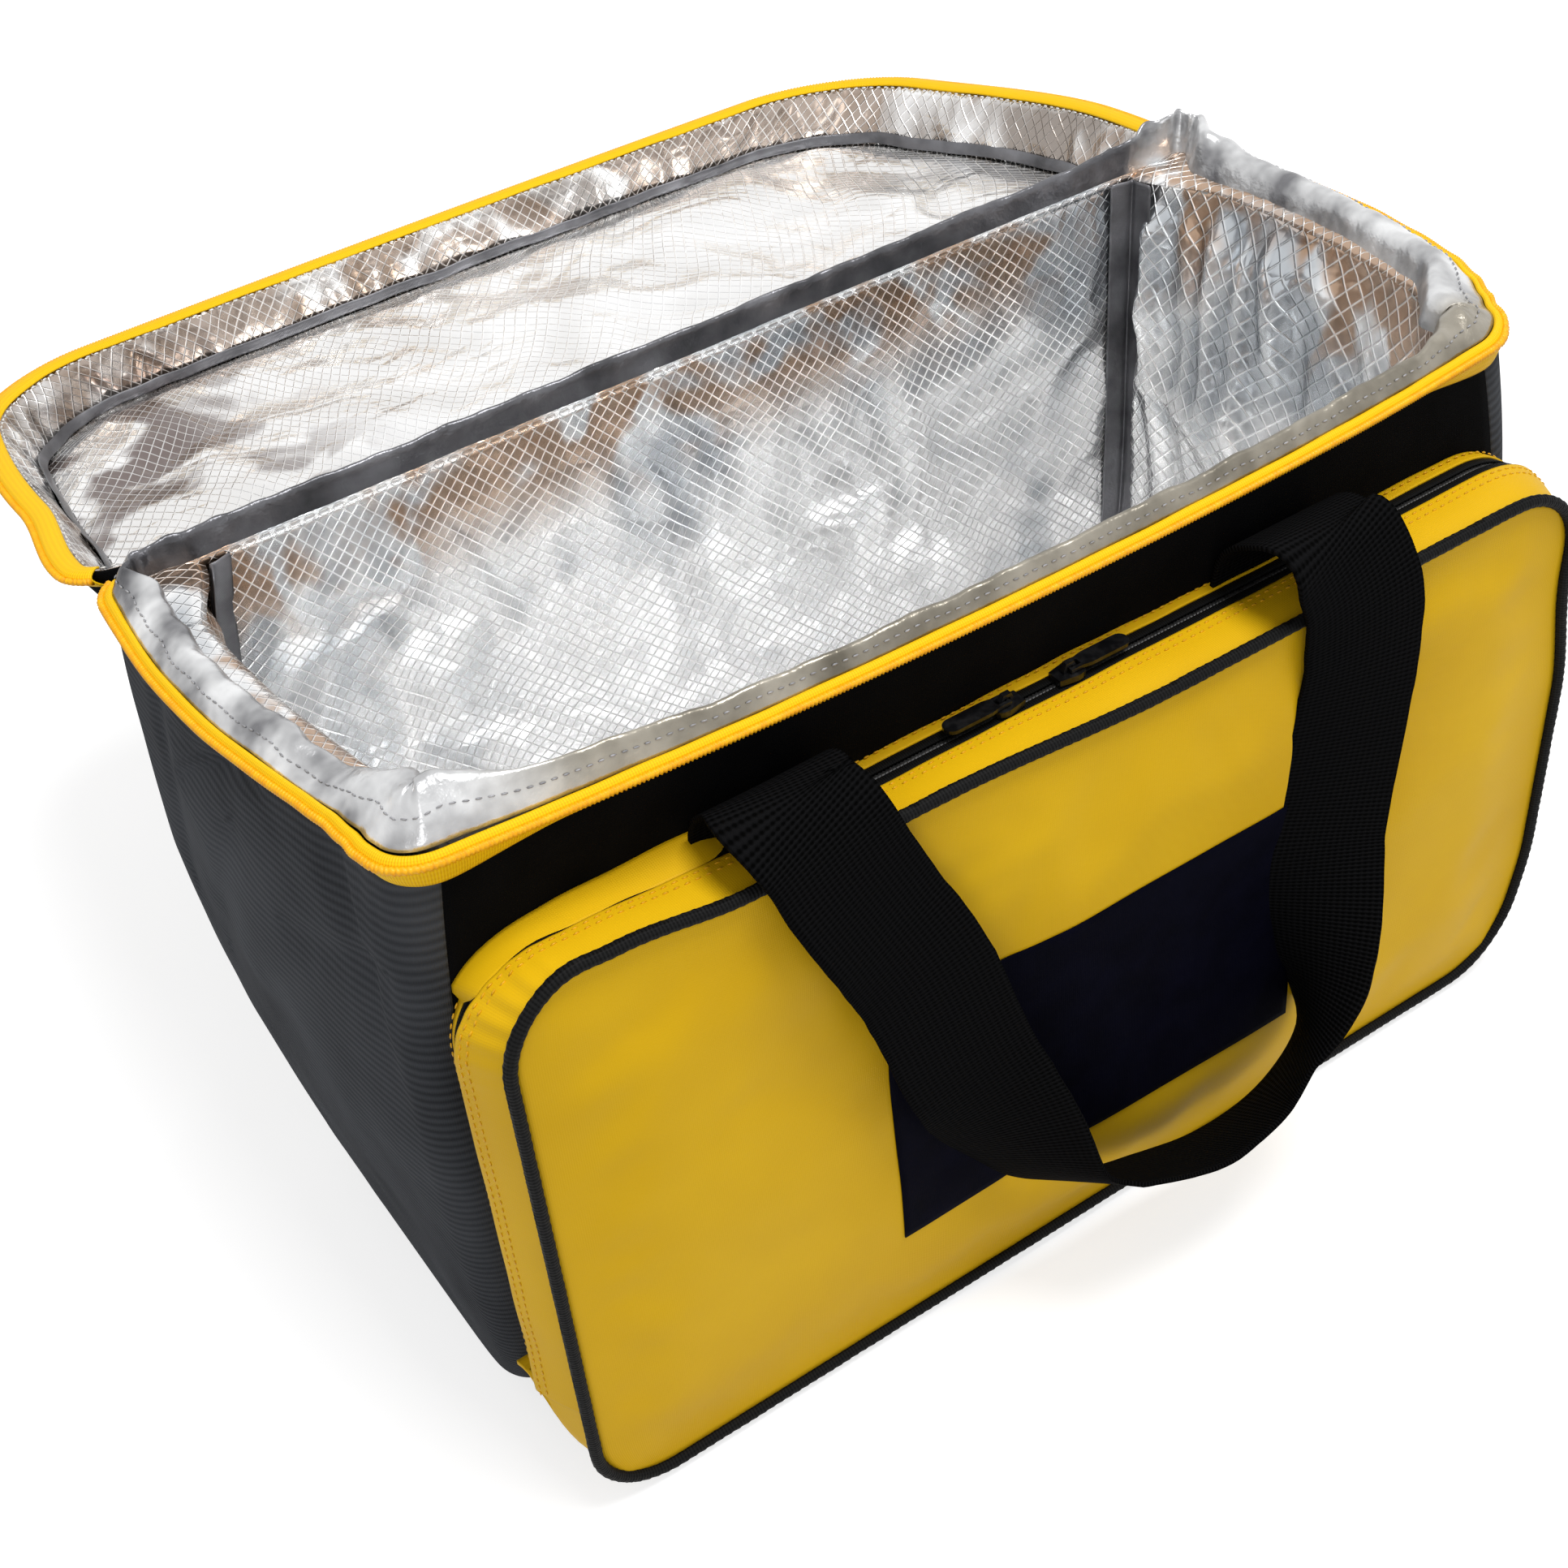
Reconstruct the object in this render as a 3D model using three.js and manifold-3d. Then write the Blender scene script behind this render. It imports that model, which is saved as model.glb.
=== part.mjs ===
// An insulated carrying bag: a soft box with a foil lining, a zipped lid thrown open behind it,
// a zipped pocket across the front and a webbing handle on each long side.
// Millimetres, +Z up. The origin is on the floor, under the middle of the base.

import * as THREE from 'three';
import { mergeVertices } from 'three/addons/utils/BufferGeometryUtils.js';
import Module from 'manifold-3d';

// Body of the bag
const bagWidth = 512;
const bagDepth = 222;
const rimHeight = 300;
const rimFall = 16;
const baseRound = 60;
const edgeRound = 13;
const endBulge = 11;
const bulgeShift = 30;
const endLean = 12;
const leanHeight = 170;
const rimDraw = 10;

// Cloth, foam and foil
const shellThickness = 1.5;
const foamThickness = 5;
const liningThickness = 0.8;
const seamGap = 0.3;
const foamBelowRim = 2;
const collarHeight = 5;
const bindingThickness = 0.8;
const bindingDepth = 9;
const cornerTapeWidth = 9;
const cornerTapeThickness = 0.6;

// Main zip
const tapeThickness = 1;
const tapeReach = 3.6;
const tapeSeam = 1.2;
const coilRadius = 1.5;

// Lid
const lidHeight = 32;
const lidDroop = 9.5;
const hingeOffset = 4;
const hingeStripHeight = 18;
const hingeStripThickness = 0.8;
const lidSeamBead = 1.6;

// Front pocket
const pocketWidth = 456;
const pocketBelowRim = 45;
const pocketBottom = 7;
const pocketDepth = 38;
const pocketCorner = 30;
const pocketSpread = 4;
const pocketCloth = 1.3;
const pipingRadius = 2.8;
const frontBandDepth = 20;
const pocketTapeWidth = 2.8;
const pocketCoilWidth = 2.4;
const pocketCoilHeight = 1.9;
const lowerGussetHeight = 58;
const lowerGussetLap = 5;
const labelWidth = 188;
const labelHeight = 117;
const labelThickness = 0.5;
const labelCentre = { x: 0, z: 119 };

// Handles of webbing
const webbingWidth = 50;
const webbingThickness = 1.8;
const handleSpacing = 212;
const tailLength = 100;
const archRise = 11.5;
const backArchReach = 9;
const backFoldBelowRim = 62;
const frontLoopDrop = 224;
const frontLoopSway = 27;
const backLoopDrop = 202;
const backLoopSway = 25;
const foldGap = 1.3;

// Zip sliders
const sliderLength = 12;
const sliderWidth = 9;
const sliderHeight = 2.4;
const crownThickness = 2.2;
const crownWall = 1.5;
const pullLength = 26;
const pullWidth = 7;
const pullThickness = 1.4;
const pullBar = 1.2;
const leftSliderX = -19;
const rightSliderX = 8;
const mainSliderFromBack = 26;
const mainSliderTravel = 50;

// Worked out from the sizes above
const halfDepth = bagDepth / 2;
const halfSeam = bagWidth / 2 - edgeRound - endBulge;
const foamInset = shellThickness + seamGap;
const liningInset = foamInset + foamThickness + seamGap;
const liningHalf = halfSeam - 2 * seamGap - foamThickness;
const hingeClear = tapeThickness + 2 * seamGap;
const rimTilt = Math.atan(rimFall / bagDepth);
const hingeY = halfDepth + hingeOffset;
const hingeZ = rimHeight - rimFall * (hingeY + halfDepth) / bagDepth + hingeClear;
const openAngle = Math.PI + THREE.MathUtils.degToRad(lidDroop);
const panelFace = -halfDepth;
const pocketFace = panelFace - pocketDepth;
const pocketTop = rimHeight - pocketBelowRim;
const backFoldHeight = rimHeight - backFoldBelowRim;
const mainSliderY = halfDepth - mainSliderFromBack;

const colours = {
  blackShell: { color: 0x101011, roughness: 0.85, metalness: 0 },
  ribbedShell: { color: 0x2e3036, roughness: 0.9, metalness: 0 },
  yellowCloth: { color: 0xe8b80a, roughness: 0.6, metalness: 0 },
  yellowTape: { color: 0xf6ae08, roughness: 0.7, metalness: 0 },
  blackTape: { color: 0x0c0c0d, roughness: 0.8, metalness: 0 },
  foil: { color: 0xc9ccd0, roughness: 0.25, metalness: 0.9 },
  greyBinding: { color: 0x7d8084, roughness: 0.6, metalness: 0.1 },
  foam: { color: 0xe9e9e6, roughness: 0.95, metalness: 0 },
  navyPatch: { color: 0x0b0d1c, roughness: 0.7, metalness: 0 },
  webbing: { color: 0x0a0a0b, roughness: 0.85, metalness: 0 },
  blackMetal: { color: 0x131315, roughness: 0.4, metalness: 0.7 },
};

const bag = new THREE.Group();
const wasm = await Module();
wasm.setup();

// Adds one named piece to the bag, or to a turned group inside it.
function addPiece(name, geometry, finish, parent = bag) {
  const mesh = new THREE.Mesh(geometry, new THREE.MeshStandardMaterial(colours[finish]));
  mesh.name = name;
  parent.add(mesh);
  return mesh;
}

// A geometry from points and triangles, turned right side out if its volume is negative.
function solidFrom(points, triangles) {
  let volume = 0;
  for (const [a, b, c] of triangles) {
    volume += points[a].dot(points[b].clone().cross(points[c]));
  }
  const index = triangles.flatMap(([a, b, c]) => (volume < 0 ? [a, c, b] : [a, b, c]));
  const geometry = new THREE.BufferGeometry();
  geometry.setAttribute('position', new THREE.Float32BufferAttribute(points.flatMap((p) => [p.x, p.y, p.z]), 3));
  geometry.setIndex(index);
  geometry.computeVertexNormals();
  return geometry;
}

// A closed body between two sheets of points that share one grid, stitched along their edges.
function sheetBody(outerAt, innerAt, columns, rows, wraps = false) {
  const across = wraps ? columns : columns + 1;
  const points = [];
  for (const at of [outerAt, innerAt]) {
    for (let j = 0; j <= rows; j += 1) {
      for (let i = 0; i < across; i += 1) {
        points.push(at(i / columns, j / rows));
      }
    }
  }
  const layer = across * (rows + 1);
  const id = (side, i, j) => side * layer + j * across + (i % across);
  const triangles = [];
  const quad = (a, b, c, d) => triangles.push([a, b, c], [a, c, d]);
  for (let i = 0; i < columns; i += 1) {
    for (let j = 0; j < rows; j += 1) {
      quad(id(0, i, j), id(0, i + 1, j), id(0, i + 1, j + 1), id(0, i, j + 1));
      quad(id(1, i, j), id(1, i, j + 1), id(1, i + 1, j + 1), id(1, i + 1, j));
    }
    quad(id(0, i, 0), id(1, i, 0), id(1, i + 1, 0), id(0, i + 1, 0));
    quad(id(0, i, rows), id(0, i + 1, rows), id(1, i + 1, rows), id(1, i, rows));
  }
  for (let j = 0; j < rows && !wraps; j += 1) {
    quad(id(0, 0, j), id(0, 0, j + 1), id(1, 0, j + 1), id(1, 0, j));
    quad(id(0, columns, j), id(1, columns, j), id(1, columns, j + 1), id(0, columns, j + 1));
  }
  return solidFrom(points, triangles);
}

// Sweeps a section, given as [outward, up] pairs, along a path seen in plan, with mitred corners.
function sweepInPlan(path, section, closed) {
  const count = path.length;
  const outward = path.map((point, i) => {
    const before = path[closed ? (i + count - 1) % count : Math.max(i - 1, 0)];
    const after = path[closed ? (i + 1) % count : Math.min(i + 1, count - 1)];
    const into = new THREE.Vector2(point.x - before.x, point.y - before.y).normalize();
    const out = new THREE.Vector2(after.x - point.x, after.y - point.y).normalize();
    if (into.lengthSq() === 0) into.copy(out);
    if (out.lengthSq() === 0) out.copy(into);
    const normal = new THREE.Vector2(into.y + out.y, -into.x - out.x).normalize();
    return normal.divideScalar(Math.max(normal.dot(new THREE.Vector2(into.y, -into.x)), 0.3));
  });
  const points = [];
  path.forEach((point, i) => {
    for (const [n, h] of section) {
      points.push(new THREE.Vector3(point.x + outward[i].x * n, point.y + outward[i].y * n, point.z + h));
    }
  });
  const size = section.length;
  const triangles = [];
  const rings = closed ? count : count - 1;
  for (let i = 0; i < rings; i += 1) {
    const here = i * size;
    const next = ((i + 1) % count) * size;
    for (let k = 0; k < size; k += 1) {
      const m = (k + 1) % size;
      triangles.push([here + k, here + m, next + m], [here + k, next + m, next + k]);
    }
  }
  if (!closed) {
    const flat = section.map(([n, h]) => new THREE.Vector2(n, h));
    const last = (count - 1) * size;
    const turned = THREE.ShapeUtils.isClockWise(flat) ? -1 : 1;
    for (const [a, b, c] of THREE.ShapeUtils.triangulateShape(flat, [])) {
      const cap = turned > 0 ? [a, c, b] : [a, b, c];
      const wound = THREE.ShapeUtils.area([flat[cap[0]], flat[cap[1]], flat[cap[2]]]) < 0;
      const start = wound === (THREE.ShapeUtils.area(flat) > 0) ? cap : [cap[0], cap[2], cap[1]];
      triangles.push(start, [last + start[0], last + start[2], last + start[1]]);
    }
  }
  return solidFrom(points, triangles);
}

// Hands a closed geometry to the solid library, and takes one back.
function toManifold(source) {
  const bare = source.clone();
  bare.deleteAttribute('normal');
  bare.deleteAttribute('uv');
  const merged = mergeVertices(bare, 1e-4);
  return new wasm.Manifold(new wasm.Mesh({
    numProp: 3,
    vertProperties: merged.attributes.position.array,
    triVerts: Uint32Array.from(merged.index.array),
  }));
}

function fromManifold(solid) {
  const result = solid.getMesh();
  const geometry = new THREE.BufferGeometry();
  geometry.setAttribute('position', new THREE.Float32BufferAttribute(result.vertProperties, 3));
  geometry.setIndex(Array.from(result.triVerts));
  geometry.computeVertexNormals();
  return geometry;
}

function joinTogether(first, second) {
  return fromManifold(toManifold(first).add(toManifold(second)));
}

function cutAway(geometry, tools) {
  return fromManifold(tools.reduce((body, tool) => body.subtract(toManifold(tool)), toManifold(geometry)));
}

// Turns a mirrored geometry right side out again.
function flipFaces(geometry) {
  const merged = mergeVertices(geometry.deleteAttribute('normal').deleteAttribute('uv'));
  const index = merged.index.array;
  for (let i = 0; i < index.length; i += 3) {
    [index[i + 1], index[i + 2]] = [index[i + 2], index[i + 1]];
  }
  merged.computeVertexNormals();
  return merged;
}

// A box between two corners.
function boxBetween(x0, x1, y0, y1, z0, z1) {
  const box = new THREE.BoxGeometry(x1 - x0, y1 - y0, z1 - z0);
  return box.translate((x0 + x1) / 2, (y0 + y1) / 2, (z0 + z1) / 2);
}

// Height of the zip line, which falls from the front of the bag to the back.
function rimAt(y) {
  return rimHeight - rimFall * (y + halfDepth) / bagDepth;
}

// How far the ends draw in towards the base, and again towards the rim.
function leanAt(z) {
  const low = Math.max(1 - z / leanHeight, 0);
  return endLean * low * low + rimDraw * rimShare(z);
}

// How near a height is to the rim, from 0 at mid-height to 1.
function rimShare(z) {
  const high = Math.max(z - leanHeight, 0) / (rimHeight - leanHeight);
  return high * high;
}

// Half the width between the seams of the outer shell. The ends belly out between their corners.
function seamAt(y, z) {
  const fullness = Math.min(z / leanHeight, 1);
  const offPeak = (y - bulgeShift) / (halfDepth + bulgeShift);
  const belly = (endBulge * fullness + rimDraw * rimShare(z)) * (1 - offPeak * offPeak);
  return halfSeam - leanAt(z) + Math.max(belly, 0);
}

// Half the depth of the bag at a height, for a layer set in from the outside.
function halfDepthAt(z, inset) {
  const radius = baseRound - inset;
  const below = Math.min(Math.max(baseRound - z, 0), radius);
  return halfDepth - baseRound + Math.sqrt(radius * radius - below * below);
}

// Distance of a point in the side view from the outline of the bag.
function depthInside(y, z) {
  const across = Math.abs(y) - (halfDepth - baseRound);
  const down = baseRound - z;
  if (across > 0 && down > 0) return baseRound - Math.hypot(across, down);
  return Math.min(baseRound - across, z);
}

// Half the width of the outer shell's end at a point of the side view.
function endSkinAt(y, z, inset) {
  const radius = edgeRound - inset;
  const edge = Math.max(radius - Math.max(depthInside(y, z) - inset, 0), 0);
  return seamAt(y, z) + Math.sqrt(radius * radius - edge * edge);
}

// The front or back wall of one layer: a sheet between two insets, from the base round to a top.
function wallLayer(side, from, to, halfAt, top) {
  const at = (inset) => (u, v) => {
    const y = side * (halfDepth - inset);
    const z = baseRound + (top(y) - baseRound) * v;
    return new THREE.Vector3((2 * u - 1) * halfAt(y, z), y, z);
  };
  return sheetBody(at(from), at(to), 1, 6);
}

// The base of one layer: flat under the bag, and rounded up to the front and the back.
function baseLayer(from, to, halfAt) {
  const arcSteps = 8;
  const stations = 2 * arcSteps + 1;
  const at = (inset) => (u, v) => {
    const step = Math.round(v * stations);
    const side = step <= arcSteps ? -1 : 1;
    const turn = (side < 0 ? arcSteps - step : step - arcSteps - 1) / arcSteps * Math.PI / 2;
    const radius = baseRound - inset;
    const y = side * (halfDepth - baseRound + radius * Math.sin(turn));
    const z = baseRound - radius * Math.cos(turn);
    return new THREE.Vector3((2 * u - 1) * halfAt(y, z), y, z);
  };
  return sheetBody(at(from), at(to), 1, stations);
}

// Spreads a fraction so that its steps crowd towards both ends.
function crowd(fraction) {
  return (1 - Math.cos(Math.PI * fraction)) / 2;
}

// A point of the side view, as a fraction across and up, inside an inset outline.
function sideViewPoint(u, v, inset, extraTop) {
  const rise = 1 - Math.cos(Math.PI / 2 * v);
  const level = inset + (rimHeight - inset) * rise;
  const y = (2 * crowd(u) - 1) * halfDepthAt(level, inset);
  const upper = Math.max(rise - 0.3, 0) / 0.7;
  return { y, z: level + (rimAt(y) - rimHeight + extraTop) * upper };
}

// The outer end panel, which takes in the rounded edges of the bag.
function endShell(side) {
  const at = (inset) => (u, v) => {
    const { y, z } = sideViewPoint(u, v, inset, 0);
    return new THREE.Vector3(side * endSkinAt(y, z, inset), y, z);
  };
  return sheetBody(at(0), at(shellThickness), 16, 12);
}

// A flat pad or lining across one end, between two half widths.
function endLayer(side, outerHalf, innerHalf, inset, extraTop) {
  const at = (half) => (u, v) => {
    const { y, z } = sideViewPoint(u, v, inset, extraTop);
    return new THREE.Vector3(side * (half - leanAt(z)), y, z);
  };
  return sheetBody(at(outerHalf), at(innerHalf), 10, 12);
}

// One end of the rim in plan, from the back corner to the front one.
function endCurve(side, inset, steps) {
  const points = [];
  for (let i = 0; i <= steps; i += 1) {
    const y = (1 - 2 * crowd(i / steps)) * (halfDepth - inset);
    points.push({ x: side * endSkinAt(y, rimHeight, inset), y });
  }
  return points;
}

// The zip's path round the left end, the front and the right end, seen in plan.
function zipPath(heightAt) {
  const pastCorner = (point) => point.y < halfDepth - edgeRound;
  const left = endCurve(-1, 0, 16).filter(pastCorner);
  const right = endCurve(1, 0, 16).filter(pastCorner).reverse();
  return [...left, ...right].map((point) => ({ ...point, z: heightAt(point.y) }));
}

// The whole rim in plan, closed across the back.
function rimLoop(inset, steps) {
  return [...endCurve(-1, inset, steps), ...endCurve(1, inset, steps).reverse()];
}

// A flat plate of the rim's outline between two heights.
function rimPlate(inset, low, high) {
  const shape = new THREE.Shape(rimLoop(inset, 16).map((p) => new THREE.Vector2(p.x, p.y)));
  return new THREE.ExtrudeGeometry(shape, { depth: high - low, bevelEnabled: false }).translate(0, 0, low);
}

// A wall that follows the rim's outline between two insets and two heights.
function rimWall(outerInset, innerInset, low, high) {
  const outer = rimLoop(outerInset, 16);
  const inner = rimLoop(innerInset, 16);
  const at = (loop) => (u, v) => {
    const point = loop[Math.round(u * loop.length) % loop.length];
    return new THREE.Vector3(point.x, point.y, low + (high - low) * v);
  };
  return sheetBody(at(outer), at(inner), outer.length, 1, true);
}

// A many-sided ring of points as a section for cords and coils.
function roundSection(centreN, centreH, radius, sides) {
  return Array.from({ length: sides }, (_, k) => {
    const angle = (k + 0.5) / sides * 2 * Math.PI;
    return [centreN + radius * Math.cos(angle), centreH + radius * Math.sin(angle)];
  });
}

// Outer shell
const shellHalf = (y, z) => seamAt(y, z) - seamGap;
addPiece('front_panel', wallLayer(-1, 0, shellThickness, shellHalf, rimAt), 'blackShell');
addPiece('back_panel', wallLayer(1, 0, shellThickness, shellHalf, rimAt), 'blackShell');
addPiece('base_panel', baseLayer(0, shellThickness, shellHalf), 'blackShell');
addPiece('left_end_panel', endShell(-1), 'ribbedShell');
addPiece('right_end_panel', endShell(1), 'ribbedShell');

// Foam between the shell and the lining
const foamTop = (y) => rimAt(y) - foamBelowRim;
const foamHalf = (y, z) => halfSeam - foamThickness - 2 * seamGap - leanAt(z);
const foamBack = foamInset + foamThickness;
addPiece('front_foam', wallLayer(-1, foamInset, foamBack, foamHalf, foamTop), 'foam');
addPiece('back_foam', wallLayer(1, foamInset, foamBack, foamHalf, foamTop), 'foam');
addPiece('base_foam', baseLayer(foamInset, foamBack, foamHalf), 'foam');
for (const [name, side] of [['left_end_foam', -1], ['right_end_foam', 1]]) {
  const outer = halfSeam - seamGap;
  addPiece(name, endLayer(side, outer, outer - foamThickness, foamInset, -foamBelowRim), 'foam');
}

// Foil lining, which stands above the zip as a collar
const liningBack = liningInset + liningThickness;
const collarTop = (y) => rimAt(y) + collarHeight;
const liningAcross = (y, z) => liningHalf - liningThickness - seamGap - leanAt(z);
addPiece('front_lining', wallLayer(-1, liningInset, liningBack, liningAcross, collarTop), 'foil');
addPiece('back_lining', wallLayer(1, liningInset, liningBack, liningAcross, collarTop), 'foil');
addPiece('floor_lining', baseLayer(liningInset, liningBack, liningAcross), 'foil');
for (const [name, side] of [['left_end_lining', -1], ['right_end_lining', 1]]) {
  const inner = liningHalf - liningThickness;
  addPiece(name, endLayer(side, liningHalf, inner, liningInset, collarHeight), 'foil');
}

// The lining's flange, which turns out over the foam to the zip
function liningFlange() {
  const outer = rimLoop(shellThickness + 2 * seamGap, 16);
  const cornerY = halfDepth - liningInset + seamGap;
  const level = (y) => rimAt(y) - liningThickness - seamGap;
  const cornerX = (y) => liningHalf + seamGap - leanAt(level(y));
  const inner = outer.map((point) => {
    const y = Math.sign(point.y) * Math.min(Math.abs(point.y), cornerY);
    return { x: Math.sign(point.x) * Math.min(Math.abs(point.x), cornerX(y)), y };
  });
  const ring = (loop) => (u, v) => {
    const { x, y } = loop[Math.round(u * loop.length) % loop.length];
    return new THREE.Vector3(x, y, level(y) + liningThickness * v);
  };
  return sheetBody(ring(outer), ring(inner), outer.length, 1, true);
}
addPiece('lining_flange', liningFlange(), 'foil');

// Grey binding folded over the collar's top edge
function collarBinding() {
  const midX = liningHalf - liningThickness / 2;
  const midY = halfDepth - liningInset - liningThickness / 2;
  const corners = [[-midX, midY], [-midX, -midY], [midX, -midY], [midX, midY]];
  const path = corners.map(([x, y]) => {
    const z = collarTop(y);
    return { x: x - Math.sign(x) * leanAt(z), y, z };
  });
  const inside = liningThickness / 2 + seamGap;
  const outside = inside + bindingThickness;
  const outerLeg = collarHeight - 2 * seamGap;
  const flare = leanAt(collarTop(-midY)) - leanAt(collarTop(-midY) - outerLeg);
  const section = [
    [-outside, -bindingDepth],
    [-inside, -bindingDepth],
    [-inside, seamGap],
    [inside, seamGap],
    [inside + flare, -outerLeg],
    [outside + flare, -outerLeg],
    [outside, seamGap + bindingThickness],
    [-outside, seamGap + bindingThickness],
  ];
  return sweepInPlan(path, section, true);
}
addPiece('collar_binding', collarBinding(), 'greyBinding');

// Grey tape over each upright seam of the lining
for (const [name, sideX, sideY] of [
  ['corner_tape_front_left', -1, -1],
  ['corner_tape_front_right', 1, -1],
  ['corner_tape_back_left', -1, 1],
  ['corner_tape_back_right', 1, 1],
]) {
  const inX = liningHalf - liningThickness - seamGap;
  const inY = halfDepth - liningBack - seamGap;
  const top = collarTop(sideY * inY) - bindingDepth - 4 * seamGap;
  const at = (thickness) => (u, v) => {
    const z = leanHeight * 0.6 + (top - leanHeight * 0.6) * v;
    const along = cornerTapeWidth * Math.abs(2 * u - 1);
    const x = (u < 0.5 ? inX - along : inX) - (u < 0.5 ? 0 : thickness);
    const y = (u > 0.5 ? inY - along : inY) - (u > 0.5 ? 0 : thickness);
    const corner = u === 0.5;
    return new THREE.Vector3(
      sideX * ((corner ? inX - thickness : x) - leanAt(z)),
      sideY * (corner ? inY - thickness : y),
      z,
    );
  };
  addPiece(name, sheetBody(at(0), at(cornerTapeThickness), 2, 4), 'greyBinding');
}

// Main zip: a tape sewn on the rim that stands outwards, and its coil
function zipTapeSection(up) {
  const near = seamGap * up;
  const far = (seamGap + tapeThickness) * up;
  return [[-tapeSeam, near], [-tapeSeam, far], [tapeReach, far], [tapeReach, near]];
}
const coilOut = tapeReach + coilRadius + seamGap;
const coilLevel = hingeClear - seamGap - coilRadius;
addPiece('body_zip_tape', sweepInPlan(zipPath(rimAt), zipTapeSection(1), false), 'yellowTape');
const bodyCoil = roundSection(coilOut, coilLevel, coilRadius, 6);
addPiece('body_zip_coil', sweepInPlan(zipPath(rimAt), bodyCoil, false), 'yellowTape');

// Lid, modelled shut above the hinge line and then turned back over it
const lid = new THREE.Group();
lid.position.set(0, hingeY, hingeZ);
lid.rotation.x = -openAngle;
bag.add(lid);
const lidSkin = new THREE.Group();
lidSkin.position.y = -hingeOffset - halfDepth;
lid.add(lidSkin);
const lidRim = hingeClear;
const lidTop = lidRim + lidHeight;
const lidFoamTop = lidTop - seamGap;
const lidFoamLow = lidFoamTop - foamThickness;
const lidLiningTop = lidFoamLow - seamGap;
const lidLiningLow = lidLiningTop - liningThickness;
const lidLiningInset = shellThickness + 2 * seamGap + liningThickness;
addPiece('lid_top_panel', rimPlate(0, lidTop + seamGap, lidTop + seamGap + shellThickness), 'blackShell', lidSkin);
addPiece('lid_side_wall', rimWall(0, shellThickness, lidRim, lidTop), 'blackShell', lidSkin);
addPiece('lid_foam', rimPlate(lidLiningInset, lidFoamLow, lidFoamTop), 'foam', lidSkin);
addPiece('lid_lining', rimPlate(lidLiningInset, lidLiningLow, lidLiningTop), 'foil', lidSkin);
const wallLiningOuter = shellThickness + seamGap;
const wallLining = rimWall(wallLiningOuter, wallLiningOuter + liningThickness, lidRim, lidLiningTop);
addPiece('lid_side_lining', wallLining, 'foil', lidSkin);
const beadPath = rimLoop(lidLiningInset + lidSeamBead, 8).map((p) => ({ ...p, z: lidLiningLow }));
const beadSection = roundSection(0, -lidSeamBead - seamGap, lidSeamBead, 6);
addPiece('lid_lining_binding', sweepInPlan(beadPath, beadSection, true), 'greyBinding', lidSkin);
const lidZip = zipPath(() => lidRim);
addPiece('lid_zip_tape', sweepInPlan(lidZip, zipTapeSection(-1), false), 'yellowTape', lidSkin);
const lidCoil = roundSection(coilOut, -coilLevel, coilRadius, 6);
addPiece('lid_zip_coil', sweepInPlan(lidZip, lidCoil, false), 'yellowTape', lidSkin);

// Hinge strip of cloth, sewn to the back panel and to the lid's back wall, split where it folds
const stripHalf = halfSeam - edgeRound;
const stripFace = halfDepth + seamGap;
const stripOut = stripFace + hingeStripThickness;
const stripBend = hingeY - seamGap;
const backRim = rimAt(halfDepth);
function hingeStrip(outFace, low, high, tip) {
  const shape = new THREE.Shape([
    new THREE.Vector2(outFace, low),
    new THREE.Vector2(outFace + hingeStripThickness, low),
    new THREE.Vector2(outFace + hingeStripThickness, high - hingeStripThickness),
    new THREE.Vector2(tip, high - hingeStripThickness),
    new THREE.Vector2(tip, high),
    new THREE.Vector2(outFace, high),
  ]);
  const strip = new THREE.ExtrudeGeometry(shape, { depth: 2 * stripHalf, bevelEnabled: false });
  return strip.rotateX(Math.PI / 2).rotateZ(Math.PI / 2).translate(-stripHalf, 0, 0);
}
const lowerStrip = hingeStrip(stripFace, backRim - hingeStripHeight, hingeZ - seamGap, stripBend);
addPiece('hinge_strip_lower', lowerStrip, 'blackShell');
const upperStrip = hingeStrip(seamGap, -hingeStripHeight - lidRim, -seamGap, hingeOffset - seamGap);
upperStrip.scale(1, 1, -1);
addPiece('hinge_strip_upper', flipFaces(upperStrip).translate(0, halfDepth, 0), 'blackShell', lidSkin);

// Front pocket, drawn as an outline in the front view and swept forwards from the front panel
const pocketHigh = (pocketTop + pocketBottom) / 2;
function pocketOutline(inset, steps) {
  const radius = pocketCorner - inset;
  const halfX = pocketWidth / 2 - pocketCorner;
  const halfZ = (pocketTop - pocketBottom) / 2 - pocketCorner;
  const points = [];
  for (const [signX, signZ, start] of [[1, -1, 270], [1, 1, 0], [-1, 1, 90], [-1, -1, 180]]) {
    for (let k = 0; k <= steps; k += 1) {
      const angle = THREE.MathUtils.degToRad(start + 90 * k / steps);
      points.push({
        x: signX * halfX + radius * Math.cos(angle),
        y: pocketHigh + signZ * halfZ + radius * Math.sin(angle),
        z: 0,
      });
    }
  }
  return points;
}

// Turns a shape drawn in the front view, with depth as height, to stand in front of the bag.
function standInFront(geometry, depth) {
  return geometry.rotateX(Math.PI / 2).translate(0, depth, 0);
}

const faceShape = new THREE.Shape(pocketOutline(seamGap, 6).map((p) => new THREE.Vector2(p.x, p.y)));
const faceCloth = new THREE.ExtrudeGeometry(faceShape, { depth: pocketCloth, bevelEnabled: false });
addPiece('pocket_face', standInFront(faceCloth, pocketFace + pocketCloth), 'yellowCloth');
const piping = sweepInPlan(pocketOutline(0, 6), roundSection(pipingRadius, 0, pipingRadius, 8), true);
addPiece('pocket_piping', standInFront(piping, pocketFace), 'blackTape');

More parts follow.
